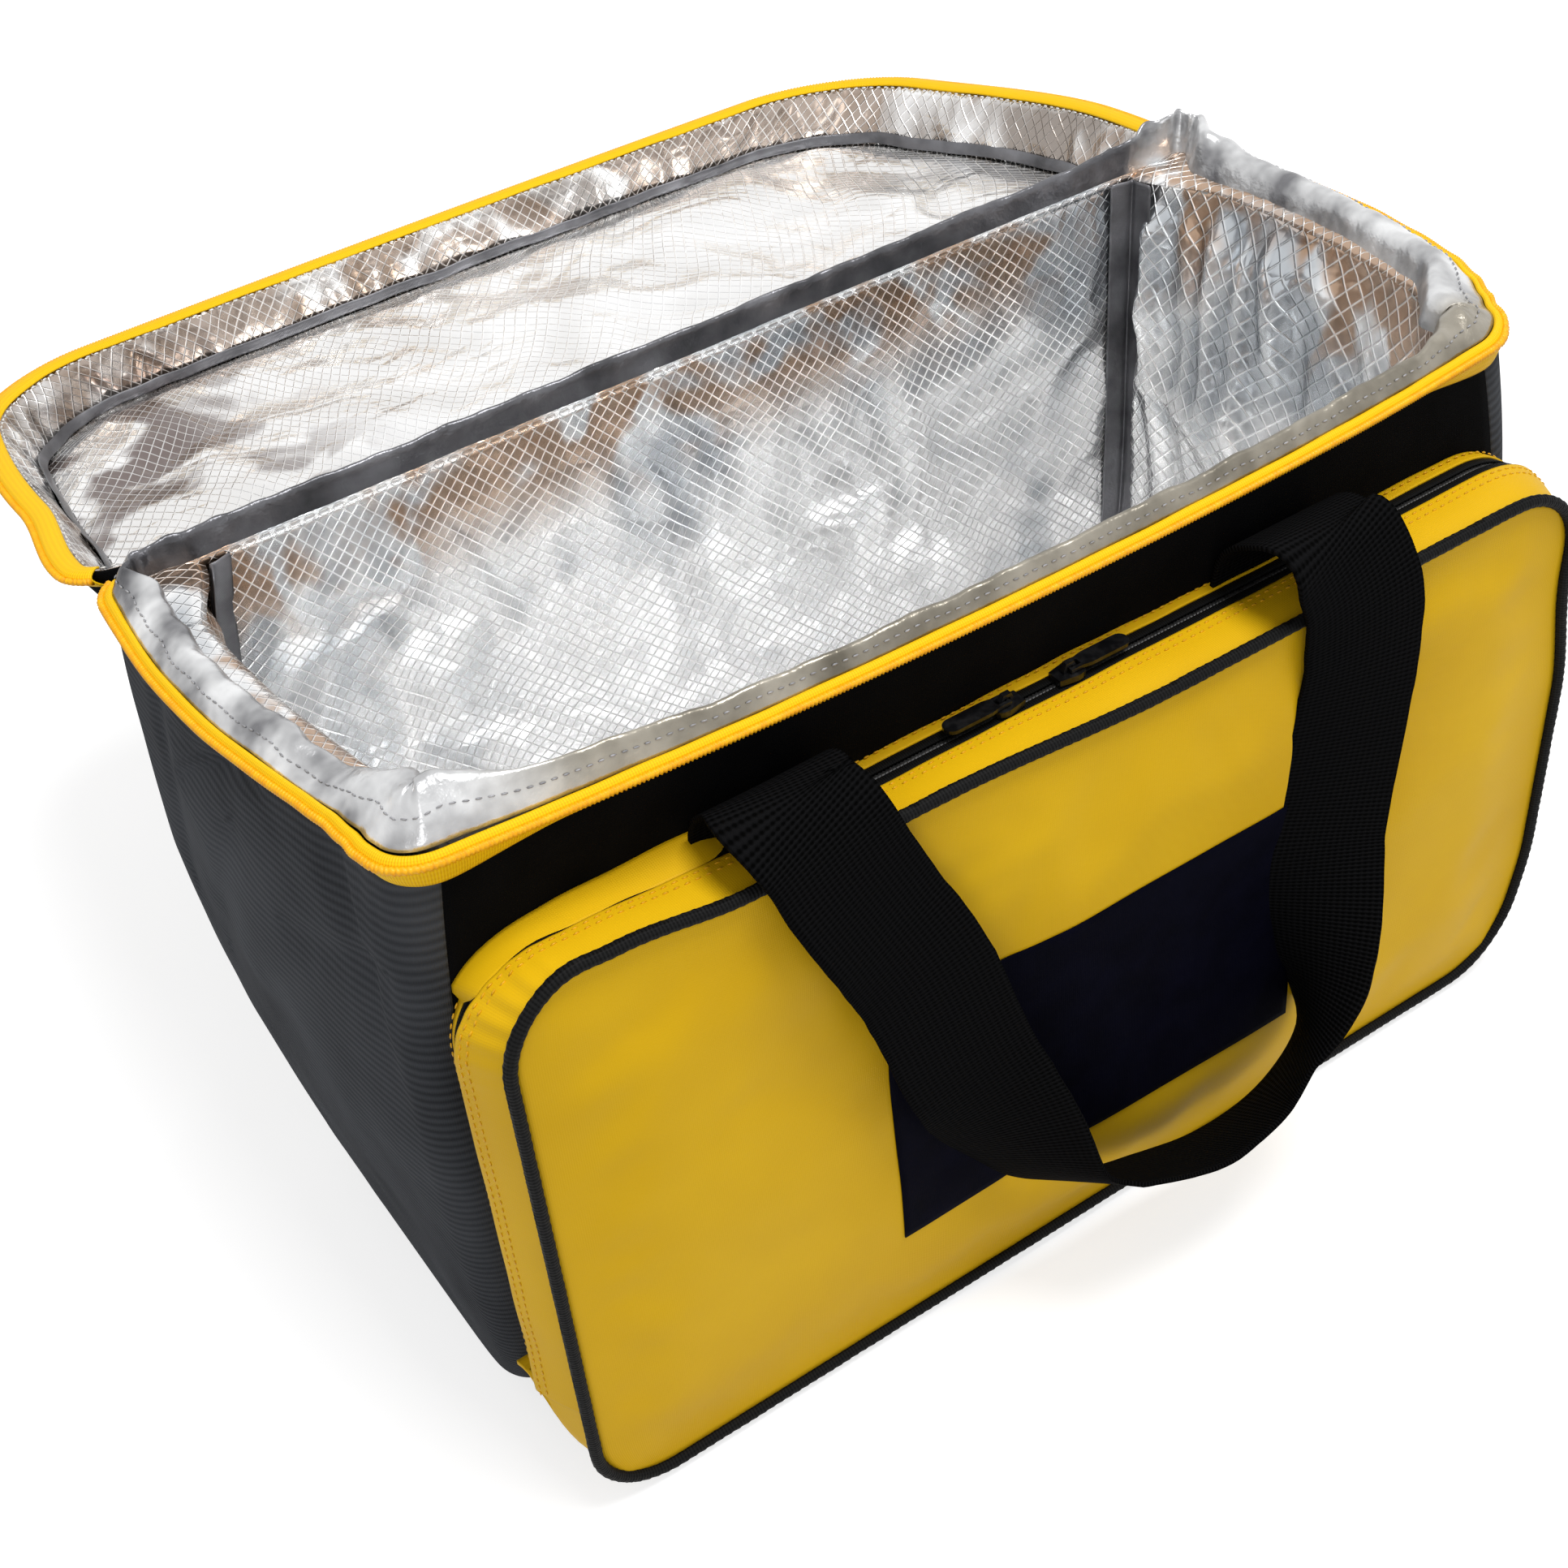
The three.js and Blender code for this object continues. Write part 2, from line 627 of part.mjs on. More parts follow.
// The part of the outline above the lower gusset, from its right end over the top to its left end
function upperOutline() {
  const cutHeight = lowerGussetHeight;
  const right = { x: pocketWidth / 2, y: cutHeight, z: 0 };
  const left = { x: -pocketWidth / 2, y: cutHeight, z: 0 };
  const between = pocketOutline(0, 6).filter((p) => p.y > pocketTop - pocketCorner - 0.01);
  return [right, ...between, left];
}

// A strip of cloth round the pocket's top and sides, between two depths in front of the panel.
function pocketStrip(nearPanel, farFromPanel, lift, thickness) {
  const path = upperOutline();
  const spread = (depth) => pocketSpread * (1 - depth / pocketDepth);
  const section = [
    [spread(nearPanel) - thickness + lift, nearPanel],
    [spread(nearPanel) + lift, nearPanel],
    [spread(farFromPanel) + lift, farFromPanel],
    [spread(farFromPanel) - thickness + lift, farFromPanel],
  ];
  return standInFront(sweepInPlan(path, section, false), panelFace);
}

const bandFront = pocketDepth - pipingRadius - seamGap;
const bandBack = bandFront - frontBandDepth;
const frontTapeBack = bandBack - seamGap - pocketTapeWidth;
const coilBack = frontTapeBack - seamGap - pocketCoilWidth;
const rearTapeBack = coilBack - seamGap - pocketTapeWidth;
const rearBandFront = rearTapeBack - seamGap;
addPiece('pocket_front_band', pocketStrip(bandBack, bandFront, 0, pocketCloth), 'yellowCloth');
addPiece('pocket_zip_front_tape', pocketStrip(frontTapeBack, bandBack - seamGap, 0, tapeThickness), 'blackTape');
addPiece('pocket_zip_coil', pocketStrip(coilBack, frontTapeBack - seamGap, 0, pocketCoilHeight), 'blackTape');
addPiece('pocket_zip_rear_tape', pocketStrip(rearTapeBack, coilBack - seamGap, 0, tapeThickness), 'blackTape');

// Yellow lower gusset: closed cloth round the pocket's foot, slanting up to where the base turns under
function lowerGusset() {
  const half = pocketWidth / 2;
  const top = lowerGussetHeight - seamGap;
  const corners = 6;
  const outer = pocketOutline(0, corners).filter((p) => p.y < pocketBottom + pocketCorner + 0.01);
  const leftSide = outer.filter((p) => p.x < 0);
  const rightSide = outer.filter((p) => p.x > 0);
  const loop = [{ x: -half, y: top }, ...leftSide, ...rightSide, { x: half, y: top }];
  const at = (inner) => (u, v) => {
    const point = loop[Math.round(u * (loop.length - 1))];
    const depth = seamGap + (bandFront - seamGap) * v;
    const rise = (baseRound + lowerGussetLap - pocketBottom) * (1 - v);
    const lifted = Math.min(Math.max(point.y, pocketBottom + rise), top);
    const away = (1 - v) * pocketSpread;
    const shrink = inner ? pocketCloth : 0;
    const x = Math.sign(point.x) * (Math.abs(point.x) + away - shrink);
    const z = Math.min(lifted + shrink, top);
    return new THREE.Vector3(x, panelFace - depth, z);
  };
  return sheetBody(at(false), at(true), loop.length - 1, 6);
}
addPiece('pocket_lower_gusset', lowerGusset(), 'yellowCloth');

// Handles: each tail is sewn flat on its panel, arches clear of it and ends where the webbing folds
function webbingRibbon(stops, acrosses) {
  const last = stops.length - 1;
  const at = (side) => (u, v) => {
    const k = Math.round(v * last);
    const along = stops[Math.min(k + 1, last)].clone().sub(stops[Math.max(k - 1, 0)]).normalize();
    const across = acrosses[k].clone();
    across.addScaledVector(along, -across.dot(along)).normalize();
    const facing = new THREE.Vector3().crossVectors(along, across);
    const point = stops[k].clone().addScaledVector(across, (u - 0.5) * webbingWidth);
    return point.addScaledVector(facing, side * webbingThickness / 2);
  };
  return sheetBody(at(1), at(-1), 1, last);
}

const frontArchReach = pocketDepth + pipingRadius + webbingThickness / 2 + 2 * seamGap;
const frontFoldHeight = pocketTop + archRise;
const tailOut = seamGap + webbingThickness / 2;

function handleTail(side, x, reach, foldHeight) {
  const near = side * (halfDepth + tailOut);
  const bend = Math.min(reach * 0.45, 9);
  const arch = new THREE.QuadraticBezierCurve3(
    new THREE.Vector3(x, near, foldHeight - bend),
    new THREE.Vector3(x, near, foldHeight),
    new THREE.Vector3(x, near + side * bend, foldHeight),
  );
  const low = new THREE.Vector3(x, near, foldHeight - tailLength);
  const fold = new THREE.Vector3(x, side * (halfDepth + reach - foldGap), foldHeight);
  const stops = [low, ...arch.getPoints(6), fold];
  return webbingRibbon(stops, stops.map(() => new THREE.Vector3(1, 0, 0)));
}

// The free loop hangs from the two folds. Each stop is a share of the half spacing, sway and drop.
const frontLoopRoute = [
  { x: -1, out: 0, down: 0.045, across: [1, 0, 0] },
  { x: -0.943, out: 0.11, down: 0.16, across: [1, 0, 0.1] },
  { x: -0.774, out: 0.3, down: 0.357, across: [1, 0.1, 0.3] },
  { x: -0.566, out: 0.48, down: 0.594, across: [1, 0.4, 0.4] },
  { x: -0.321, out: 0.7, down: 0.839, across: [0.8, 0.8, 0.4] },
  { x: 0.038, out: 0.93, down: 0.973, across: [0.1, 1, 0.5] },
  { x: 0.425, out: 1, down: 1, across: [0, 1, 0.5] },
  { x: 0.774, out: 0.93, down: 0.92, across: [0.3, 1, 0.2] },
  { x: 1, out: 0.7, down: 0.714, across: [0.8, 0.6, 0] },
  { x: 1.066, out: 0.3, down: 0.469, across: [1, 0.3, 0] },
  { x: 1.047, out: 0.11, down: 0.223, across: [1, 0.1, 0] },
  { x: 1, out: 0, down: 0.045, across: [1, 0, 0] },
];
const backLoopHalf = [
  { x: -1, out: 0, down: 0.05, across: [1, 0, 0] },
  { x: -0.972, out: 0.16, down: 0.198, across: [1, 0, 0.1] },
  { x: -0.877, out: 0.4, down: 0.47, across: [1, 0.3, 0.2] },
  { x: -0.66, out: 0.72, down: 0.743, across: [1, 0.8, 0.2] },
  { x: -0.358, out: 0.92, down: 0.931, across: [0.4, 1, 0.1] },
];
const mirrored = ({ x, out, down, across: [a, b, c] }) => ({ x: -x, out, down, across: [-a, b, c] });
const backLoopRoute = [
  ...backLoopHalf,
  { x: 0, out: 1, down: 1, across: [0, 1, 0] },
  ...backLoopHalf.map(mirrored).reverse(),
];

function handleLoop(side, route, reach, foldHeight, sway, drop) {
  const fold = { x: -1, out: 0, down: foldGap / drop, across: [1, 0, 0] };
  const farFold = { ...fold, x: 1, across: route.at(-1).across };
  const stops = [fold, ...route, farFold];
  const curve = new THREE.CatmullRomCurve3(stops.map((s) => new THREE.Vector3(
    s.x * handleSpacing / 2,
    side * (halfDepth + reach + s.out * sway),
    foldHeight - s.down * drop,
  )), false, 'centripetal');
  const turns = new THREE.CatmullRomCurve3(
    stops.map((s) => new THREE.Vector3(s.across[0], side * s.across[1], s.across[2])),
    false,
    'centripetal',
  );
  return webbingRibbon(curve.getPoints(44), turns.getPoints(44));
}

const backReach = backArchReach + tailOut;
for (const [name, x] of [['left', -handleSpacing / 2], ['right', handleSpacing / 2]]) {
  addPiece(`front_handle_tail_${name}`, handleTail(-1, x, frontArchReach, frontFoldHeight), 'webbing');
  addPiece(`back_handle_tail_${name}`, handleTail(1, x, backReach, backFoldHeight), 'webbing');
}
const frontLoop = handleLoop(
  -1, frontLoopRoute, frontArchReach, frontFoldHeight, frontLoopSway, frontLoopDrop,
);
const backLoop = handleLoop(1, backLoopRoute, backReach, backFoldHeight, backLoopSway, backLoopDrop);
addPiece('front_handle_loop', frontLoop, 'webbing');
addPiece('back_handle_loop', backLoop, 'webbing');

// Yellow band behind the zip, notched where the handle's tails come up through it
const tailNotches = [-1, 1].map((side) => {
  const half = webbingWidth / 2 + seamGap;
  const middle = side * handleSpacing / 2;
  const low = pocketTop - 4 * webbingThickness;
  const high = pocketTop + 4 * webbingThickness;
  const deep = webbingThickness + 3 * seamGap;
  return boxBetween(middle - half, middle + half, panelFace - deep, panelFace + 1, low, high);
});
const rearBand = cutAway(pocketStrip(seamGap, rearBandFront, 0, pocketCloth), tailNotches);
addPiece('pocket_rear_band', rearBand, 'yellowCloth');

// Zip sliders, drawn travelling along X with their pull lying ahead of them
function sliderGroup(name) {
  const group = new THREE.Group();
  const half = sliderLength / 2;
  const outline = new THREE.Shape();
  outline.moveTo(-half, -sliderWidth * 0.36);
  outline.lineTo(half * 0.2, -sliderWidth / 2);
  outline.quadraticCurveTo(half, -sliderWidth / 2, half, -sliderWidth * 0.12);
  outline.lineTo(half * 0.75, 0);
  outline.lineTo(half, sliderWidth * 0.12);
  outline.quadraticCurveTo(half, sliderWidth / 2, half * 0.2, sliderWidth / 2);
  outline.lineTo(-half, sliderWidth * 0.36);
  outline.closePath();
  const wing = new THREE.ExtrudeGeometry(outline, { depth: sliderHeight, bevelEnabled: false, curveSegments: 4 });
  addPiece(`${name}_slider`, joinTogether(wing, crownArch()), 'blackMetal', group);
  const pull = addPiece(`${name}_pull`, pullPlate(), 'blackMetal', group);
  pull.position.z = sliderHeight + crownSlot() / 2;
  bag.add(group);
  return group;
}

// The slot of the crown gives the pull's bar room to turn.
function crownSlot() {
  return Math.hypot(pullBar, pullThickness) + 2 * seamGap;
}

function crownArch() {
  const slot = crownSlot();
  const reach = slot / 2 + crownWall;
  const arch = new THREE.Shape();
  arch.moveTo(-reach, -seamGap);
  arch.lineTo(reach, -seamGap);
  arch.lineTo(reach, slot * 0.6);
  arch.lineTo(reach * 0.6, slot + crownWall);
  arch.lineTo(-reach * 0.6, slot + crownWall);
  arch.lineTo(-reach, slot * 0.6);
  const hole = new THREE.Path();
  hole.moveTo(-slot / 2, 0);
  hole.lineTo(-slot / 2, slot);
  hole.lineTo(slot / 2, slot);
  hole.lineTo(slot / 2, 0);
  arch.holes.push(hole);
  const solid = new THREE.ExtrudeGeometry(arch, { depth: crownThickness, bevelEnabled: false });
  return solid.rotateX(Math.PI / 2).translate(0, crownThickness / 2, sliderHeight);
}

function pullPlate() {
  const rail = crownThickness / 2 + seamGap;
  const clear = Math.hypot(crownSlot() / 2 + crownWall, crownSlot() / 2 + crownWall) + 2 * seamGap;
  const plate = new THREE.Shape();
  plate.moveTo(-pullBar / 2, -pullWidth * 0.4);
  plate.lineTo(clear, -pullWidth * 0.4);
  plate.lineTo(clear + pullWidth / 2, -pullWidth / 2);
  plate.lineTo(pullLength - pullWidth / 2, -pullWidth / 2);
  plate.absarc(pullLength - pullWidth / 2, 0, pullWidth / 2, -Math.PI / 2, Math.PI / 2, false);
  plate.lineTo(clear + pullWidth / 2, pullWidth / 2);
  plate.lineTo(clear, pullWidth * 0.4);
  plate.lineTo(-pullBar / 2, pullWidth * 0.4);
  plate.closePath();
  const eye = new THREE.Path();
  eye.moveTo(pullBar / 2, -rail);
  eye.lineTo(pullBar / 2, rail);
  eye.lineTo(clear, rail);
  eye.lineTo(clear, -rail);
  plate.holes.push(eye);
  const solid = new THREE.ExtrudeGeometry(plate, { depth: pullThickness, bevelEnabled: false, curveSegments: 5 });
  return solid.translate(0, 0, -pullThickness / 2);
}

const coilMiddle = (coilBack + frontTapeBack - seamGap) / 2;
const zipLevel = pocketTop + pocketSpread * (1 - rearTapeBack / pocketDepth);
const leftSlider = sliderGroup('pocket_left');
leftSlider.position.set(leftSliderX, panelFace - coilMiddle, zipLevel + seamGap);
leftSlider.rotation.z = Math.PI;
const rightSlider = sliderGroup('pocket_right');
rightSlider.position.set(rightSliderX, panelFace - coilMiddle, zipLevel + seamGap);

// The main slider runs straight beside the curve of the right end's coil, clear of its middle
const mainSlider = sliderGroup('main');
const coilFaceAt = (y) => endSkinAt(y, rimHeight, 0) + coilOut + coilRadius + seamGap;
const coilNear = coilFaceAt(mainSliderY);
const coilFar = coilFaceAt(mainSliderY - mainSliderTravel);
const coilMid = coilFaceAt(mainSliderY - mainSliderTravel / 2);
const coilCrown = coilMid - (coilNear + coilFar) / 2;
mainSlider.position.set(coilNear + coilCrown, mainSliderY, rimAt(mainSliderY) + coilLevel);
mainSlider.rotation.set(Math.PI / 2 - rimTilt, Math.PI / 2, 0);
mainSlider.rotateOnWorldAxis(new THREE.Vector3(0, 0, 1), Math.atan2(coilFar - coilNear, mainSliderTravel));

const label = boxBetween(
  labelCentre.x - labelWidth / 2,
  labelCentre.x + labelWidth / 2,
  pocketFace - labelThickness,
  pocketFace,
  labelCentre.z - labelHeight / 2,
  labelCentre.z + labelHeight / 2,
);
addPiece('label_patch', label, 'navyPatch');

export default bag;
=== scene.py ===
# %% [markdown]
# # An insulated bag, dressed for its picture
#
# The solids of this bag already exist: plain panels, a lid, a pocket and two handles that
# swing. This lesson dresses them. Each piece below is one piece of the real bag, cut from
# cloth, foil, webbing or metal, laid where its solid lies and given a finish made of nodes.
#
# The first cell loads the solids as a fixed frame. Nothing that is added later may make the
# bag noticeably bigger.

# %% Load the frame
import math
from itertools import groupby

import bmesh
import bpy
from mathutils import Matrix, Vector, noise
from mathutils.bvhtree import BVHTree


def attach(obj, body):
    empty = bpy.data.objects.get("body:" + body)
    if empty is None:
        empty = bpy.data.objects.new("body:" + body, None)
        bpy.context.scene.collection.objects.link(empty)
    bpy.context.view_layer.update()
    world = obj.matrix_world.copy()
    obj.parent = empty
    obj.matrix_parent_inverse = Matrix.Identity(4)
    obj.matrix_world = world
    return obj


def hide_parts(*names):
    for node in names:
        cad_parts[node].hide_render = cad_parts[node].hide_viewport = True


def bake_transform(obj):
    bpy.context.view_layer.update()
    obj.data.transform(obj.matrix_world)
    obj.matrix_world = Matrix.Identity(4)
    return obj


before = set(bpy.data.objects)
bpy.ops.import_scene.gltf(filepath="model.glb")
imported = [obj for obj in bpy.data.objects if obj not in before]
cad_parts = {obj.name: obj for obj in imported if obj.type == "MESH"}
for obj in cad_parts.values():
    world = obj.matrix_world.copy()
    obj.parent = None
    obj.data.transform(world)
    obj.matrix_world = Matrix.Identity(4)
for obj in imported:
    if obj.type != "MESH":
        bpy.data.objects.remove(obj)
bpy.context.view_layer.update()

# %% [markdown]
# ## The bag's own measures
#
# All the sewing below is drawn in millimetres, as a maker would, and turned into metres at
# the last moment. The numbers repeat the ones that the solids were made from, so cloth and
# solid lie on each other.

# %% Measures of the bag
MM = 0.001
BAG_WIDTH = 512
BAG_DEPTH = 222
RIM_HEIGHT = 300
RIM_FALL = 16
BASE_ROUND = 60
EDGE_ROUND = 13
END_BULGE = 11
BULGE_SHIFT = 30
END_LEAN = 12
LEAN_HEIGHT = 170
RIM_DRAW = 10
LINING_INSET = 7.1
HALF_DEPTH = BAG_DEPTH / 2
HALF_SEAM = BAG_WIDTH / 2 - EDGE_ROUND - END_BULGE
LINING_HALF = HALF_SEAM - 5.6


def mix(a, b, share):
    """A number between two others."""
    return a + (b - a) * share


def smooth_step(low, high, value):
    """Rises softly from 0 to 1 while the value goes from low to high."""
    share = min(max((value - low) / (high - low), 0), 1)
    return share * share * (3 - 2 * share)


def rim_at(y):
    """Height of the zip line, which falls from the front of the bag to its back."""
    return RIM_HEIGHT - RIM_FALL * (y + HALF_DEPTH) / BAG_DEPTH


def rim_share(z):
    """How much of the rim's own shape a height has: none up to the middle, all at the rim."""
    return (max(z - LEAN_HEIGHT, 0) / (RIM_HEIGHT - LEAN_HEIGHT)) ** 2


def lean_at(z):
    """How far the two ends draw in, towards the base and again towards the rim."""
    low = max(1 - z / LEAN_HEIGHT, 0)
    return END_LEAN * low * low + RIM_DRAW * rim_share(z)


def belly_at(y, z):
    """How far an end bulges, most at the top and a little behind the middle."""
    off_peak = (y - BULGE_SHIFT) / (HALF_DEPTH + BULGE_SHIFT)
    full = END_BULGE * min(max(z, 0) / LEAN_HEIGHT, 1) + RIM_DRAW * rim_share(z)
    return full * max(1 - off_peak * off_peak, 0)


def seam_at(y, z):
    """Half the bag's width where an end is sewn on."""
    return HALF_SEAM - lean_at(z) + belly_at(y, z)


def half_depth_at(z, inset=0):
    """Half the bag's depth at a height, where its long edges are rounded under."""
    radius = BASE_ROUND - inset
    below = min(max(BASE_ROUND - z, 0), radius)
    return HALF_DEPTH - BASE_ROUND + math.sqrt(radius * radius - below * below)


def skin_at(y, z):
    """Half the bag's width on its outer skin, with the soft edge towards front, base and back."""
    across = abs(y) - (HALF_DEPTH - BASE_ROUND)
    down = BASE_ROUND - z
    inside = min(BASE_ROUND - across, z)
    if across > 0 and down > 0:
        inside = BASE_ROUND - math.hypot(across, down)
    edge = max(EDGE_ROUND - max(inside, 0), 0)
    return seam_at(y, z) + math.sqrt(EDGE_ROUND**2 - edge**2)


print("half width at the rim's middle:", round(skin_at(BULGE_SHIFT, RIM_HEIGHT), 1), "mm")

# %% [markdown]
# ## How the soft top settles
#
# Only the zip and the foam hold the top of the bag open, so it has leaned a few millimetres to
# one side and its front edge bows forward. One table gives the lean of each end from front to
# back, and `settle` moves a point by it: not at all up to the middle of the height, fully at
# the rim. Every piece of the top goes through the same function, so they stay together.

# %% The lean of the soft top
# y, then how far the left and the right end lean to the right at the rim
LEAN_TABLE = (
    (-111, 0, -13), (-94, 2, -9), (-85, 4, -5), (-71, 6, 0), (-53, 7, 4),
    (-26, 7, 7), (6, 6, 10), (51, 5, 11), (111, 5, 12),
)
# How far the middle of the top leans, and how far over the rim the lean still grows
MIDDLE_LEAN = 3
LEAN_OVER = 14
# The front edge bows out in its middle and lifts at its corners, from a height up to the rim
FRONT_BOW = 7
FRONT_LIFT = 3
BOW_START = 215
BOW_SPAN = 85
# Along x, where the ends begin and where they are full, and half the width of what bows
END_FROM = 120
END_FULL = 230
BOW_HALF = 225


def table_at(table, place, column=1):
    """Reads a column of a table of places and values, eased between its rows."""
    if place <= table[0][0]:
        return table[0][column]
    for low, high in zip(table, table[1:]):
        if place <= high[0]:
            return mix(low[column], high[column], smooth_step(low[0], high[0], place))
    return table[-1][column]


def front_bow_at(x, y):
    """Shares for a place in plan: how near it is to the middle, to the front and to the ends."""
    across = min(abs(x) / BOW_HALF, 1)
    return 1 - across * across, smooth_step(20, -100, y), across


def settle(x, y, z):
    """Where a point of the drawn bag lies once the soft top has settled."""
    top = rim_share(min(z, rim_at(y) + LEAN_OVER))
    if top <= 0:
        return Vector((x, y, z))
    left, right = smooth_step(-END_FROM, -END_FULL, x), smooth_step(END_FROM, END_FULL, x)
    shift = left * table_at(LEAN_TABLE, y) + right * table_at(LEAN_TABLE, y, 2)
    shift += (1 - left - right) * MIDDLE_LEAN
    middle, front, across = front_bow_at(x, y)
    high = (max(min(z, RIM_HEIGHT + LEAN_OVER) - BOW_START, 0) / BOW_SPAN) ** 2
    bow = FRONT_BOW * middle * high * front
    return Vector((x + shift * top, y - bow, z + FRONT_LIFT * across**2.5 * front * high))


print("right end leans", [round(settle(250, y, 300).x - 250, 1) for y in (-111, 0, 111)], "mm")

# %% [markdown]
# ## The lid's own plane
#
# The lid stands open behind the bag and droops by nine and a half degrees. Its pieces are
# easiest to draw as if it were shut, in plan, with a height above its rim. One function then
# turns each point back over the hinge line to where it lies. The open lid's cloth is slack, so
# its ends draw in a little and its far edge bows out, and the same function does that too.

# %% Turn a point of the shut lid to where the open lid holds it
HINGE_Y = HALF_DEPTH + 4
LID_RIM = 1.6
HINGE_Z = rim_at(HINGE_Y) + LID_RIM
LID_OPEN = math.pi + math.radians(9.5)
LID_COS, LID_SIN = math.cos(LID_OPEN), math.sin(LID_OPEN)
LID_DEEP = 32
# How far the lid's left end draws in while it hangs open, and its right end at the far corner
LID_LEFT_PINCH = 12
LID_FAR_PINCH = 5
# How far its far edge bows out, and how far its right end leans out towards the hinge
LID_BOW = 4
LID_RIGHT_LEAN = 10
# How far the lid's ends lean in, in millimetres for each millimetre of its depth
LID_LEAN = 0.5


def on_rim(x, y, high):
    """A point above the rim of the body, where the soft top has carried it."""
    return settle(x, y, rim_at(y) + high)


def on_lid(x, y, high):
    """A point above the rim of the lid, carried over the hinge to where the lid lies open."""
    end = smooth_step(60, 220, abs(x))
    drawn = smooth_step(105, 30, y) * end
    far = LID_FAR_PINCH * smooth_step(60, -100, y)
    lean = LID_LEAN * max(high, 0) * end
    x += drawn * (LID_LEFT_PINCH if x < 0 else -far) - math.copysign(lean, x)
    x += LID_RIGHT_LEAN * smooth_step(END_FROM, END_FULL, x) * smooth_step(-70, 60, y)
    middle, front, _ = front_bow_at(x, y)
    y -= LID_BOW * middle * front
    back = y - HINGE_Y
    up = high + LID_RIM
    return Vector((x, HINGE_Y + LID_COS * back + LID_SIN * up, HINGE_Z - LID_SIN * back + LID_COS * up))


print("far edge of the open lid:", [round(v) for v in on_lid(0, -HALF_DEPTH, 0)], "mm")

# %% [markdown]
# ## Laying cloth
#
# Cloth starts flat. `lay_cloth` makes a flat grid with a bmesh operator, remembers where each
# face lay in the flat cloth as its UV map, in metres, and then carries every vertex to its
# place on the bag. The UV map is what keeps a weave the same size on every piece. A grid
# whose two edges meet, such as a band round the rim or a tube of piping, is joined by merging
# its doubles. Linings face into the bag, and everything else faces out of it.

# %% Helpers that lay cloth
DOUBLES_WITHIN = 0.01


def lay_cloth(columns, rows, place, flat, inside=None, inward=False, ring=False, tube=False):
    """A flat grid carried to its place; its faces turn away from the point inside, or to it."""
    form = bmesh.new()
    uv = form.loops.layers.uv.new("UVMap")
    bmesh.ops.create_grid(form, x_segments=columns, y_segments=rows, size=0.5)
    for face in form.faces:
        for loop in face.loops:
            u, v = loop.vert.co.x + 0.5, loop.vert.co.y + 0.5
            loop[uv].uv = (u * flat[0] * MM, v * flat[1] * MM)
    for vert in form.verts:
        vert.co = Vector(place(vert.co.x + 0.5, vert.co.y + 0.5)) * MM
    if tube:
        bmesh.ops.remove_doubles(form, verts=form.verts, dist=DOUBLES_WITHIN * MM)
        bmesh.ops.holes_fill(form, edges=form.edges, sides=64)
        bmesh.ops.recalc_face_normals(form, faces=form.faces)
        return form
    form.normal_update()
    middle = Vector(inside) * MM
    outwards = sum((f.calc_center_median() - middle).dot(f.normal) * f.calc_area() for f in form.faces)
    if outwards < 0:
        bmesh.ops.reverse_faces(form, faces=form.faces)
    if inward:
        bmesh.ops.reverse_faces(form, faces=form.faces)
    if ring:
        bmesh.ops.remove_doubles(form, verts=form.verts, dist=DOUBLES_WITHIN * MM)
    return form


def settled(place):
    """The same place for a point of cloth, once the soft top has settled."""
    return lambda u, v: settle(*place(u, v))


def add_object(name, data):
    """Puts an object with this data into the scene."""
    made = bpy.data.objects.new(name, data)
    bpy.context.scene.collection.objects.link(made)
    return made


def finish_piece(name, form, finish, body, stands_for=(), thick=0, soft=0):
    """Makes a bmesh an object, gives it a finish and a thickness, and lets it ride on a body."""
    data = bpy.data.meshes.new(name)
    form.to_mesh(data)
    form.free()
    data.polygons.foreach_set("use_smooth", [True] * len(data.polygons))
    data.materials.append(finish)
    piece = add_object(name, data)
    if soft:
        smoother = piece.modifiers.new("Soft", "SUBSURF")
        smoother.levels = smoother.render_levels = soft
    if thick:
        wall = piece.modifiers.new("Thickness", "SOLIDIFY")
        wall.thickness = thick * MM
        wall.offset = -1
    if body:
        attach(piece, body)
    if stands_for:
        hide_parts(*stands_for)
    print(name, len(data.polygons), "faces")
    return piece


def crowd(fraction):
    """Spreads a fraction so that its steps crowd towards both ends."""
    return (1 - math.cos(math.pi * fraction)) / 2


def ripple(x, y, z, size, seed=0):
    """A soft random height from -1 to 1 that changes over about one size, in millimetres."""
    return noise.noise(Vector((x / size + seed, y / size, z / size)))


def crease(x, y, z, size, seed=0):
    """Sharp-backed random folds from 0 to 1, as in foil that has been crushed once."""
    return 1 - min(abs(ripple(x, y, z, size, seed)) * 3, 1)


def bump_at(value, middle, width):
    """A soft hill of height 1 round one value."""
    return math.exp(-(((value - middle) / width) ** 2))


print("helpers that lay cloth are ready")

# %% [markdown]
# ## Lines in plan
#
# Zip, collar and lid all follow the same rounded line round the bag, seen from above. A line
# is kept as points at equal distances, each with the direction that points away from the bag,
# so that a tape, a coil or a row of stitches can be set at any distance from it.

# %% Helpers for lines
def evenly(points, step, closed=False):
    """Points at about equal distances along a line of points."""
    points = [Vector(p) for p in points]
    if closed:
        points.append(points[0])
    lengths = [(b - a).length for a, b in zip(points, points[1:])]
    total = sum(lengths)
    count = max(round(total / step), 1)
    result, index, walked = [], 0, 0.0
    for k in range(count if closed else count + 1):
        target = min(total * k / count, total - 1e-9)
        while walked + lengths[index] < target:
            walked += lengths[index]
            index += 1
        share = (target - walked) / lengths[index]
        result.append(points[index].lerp(points[index + 1], share))
    return result


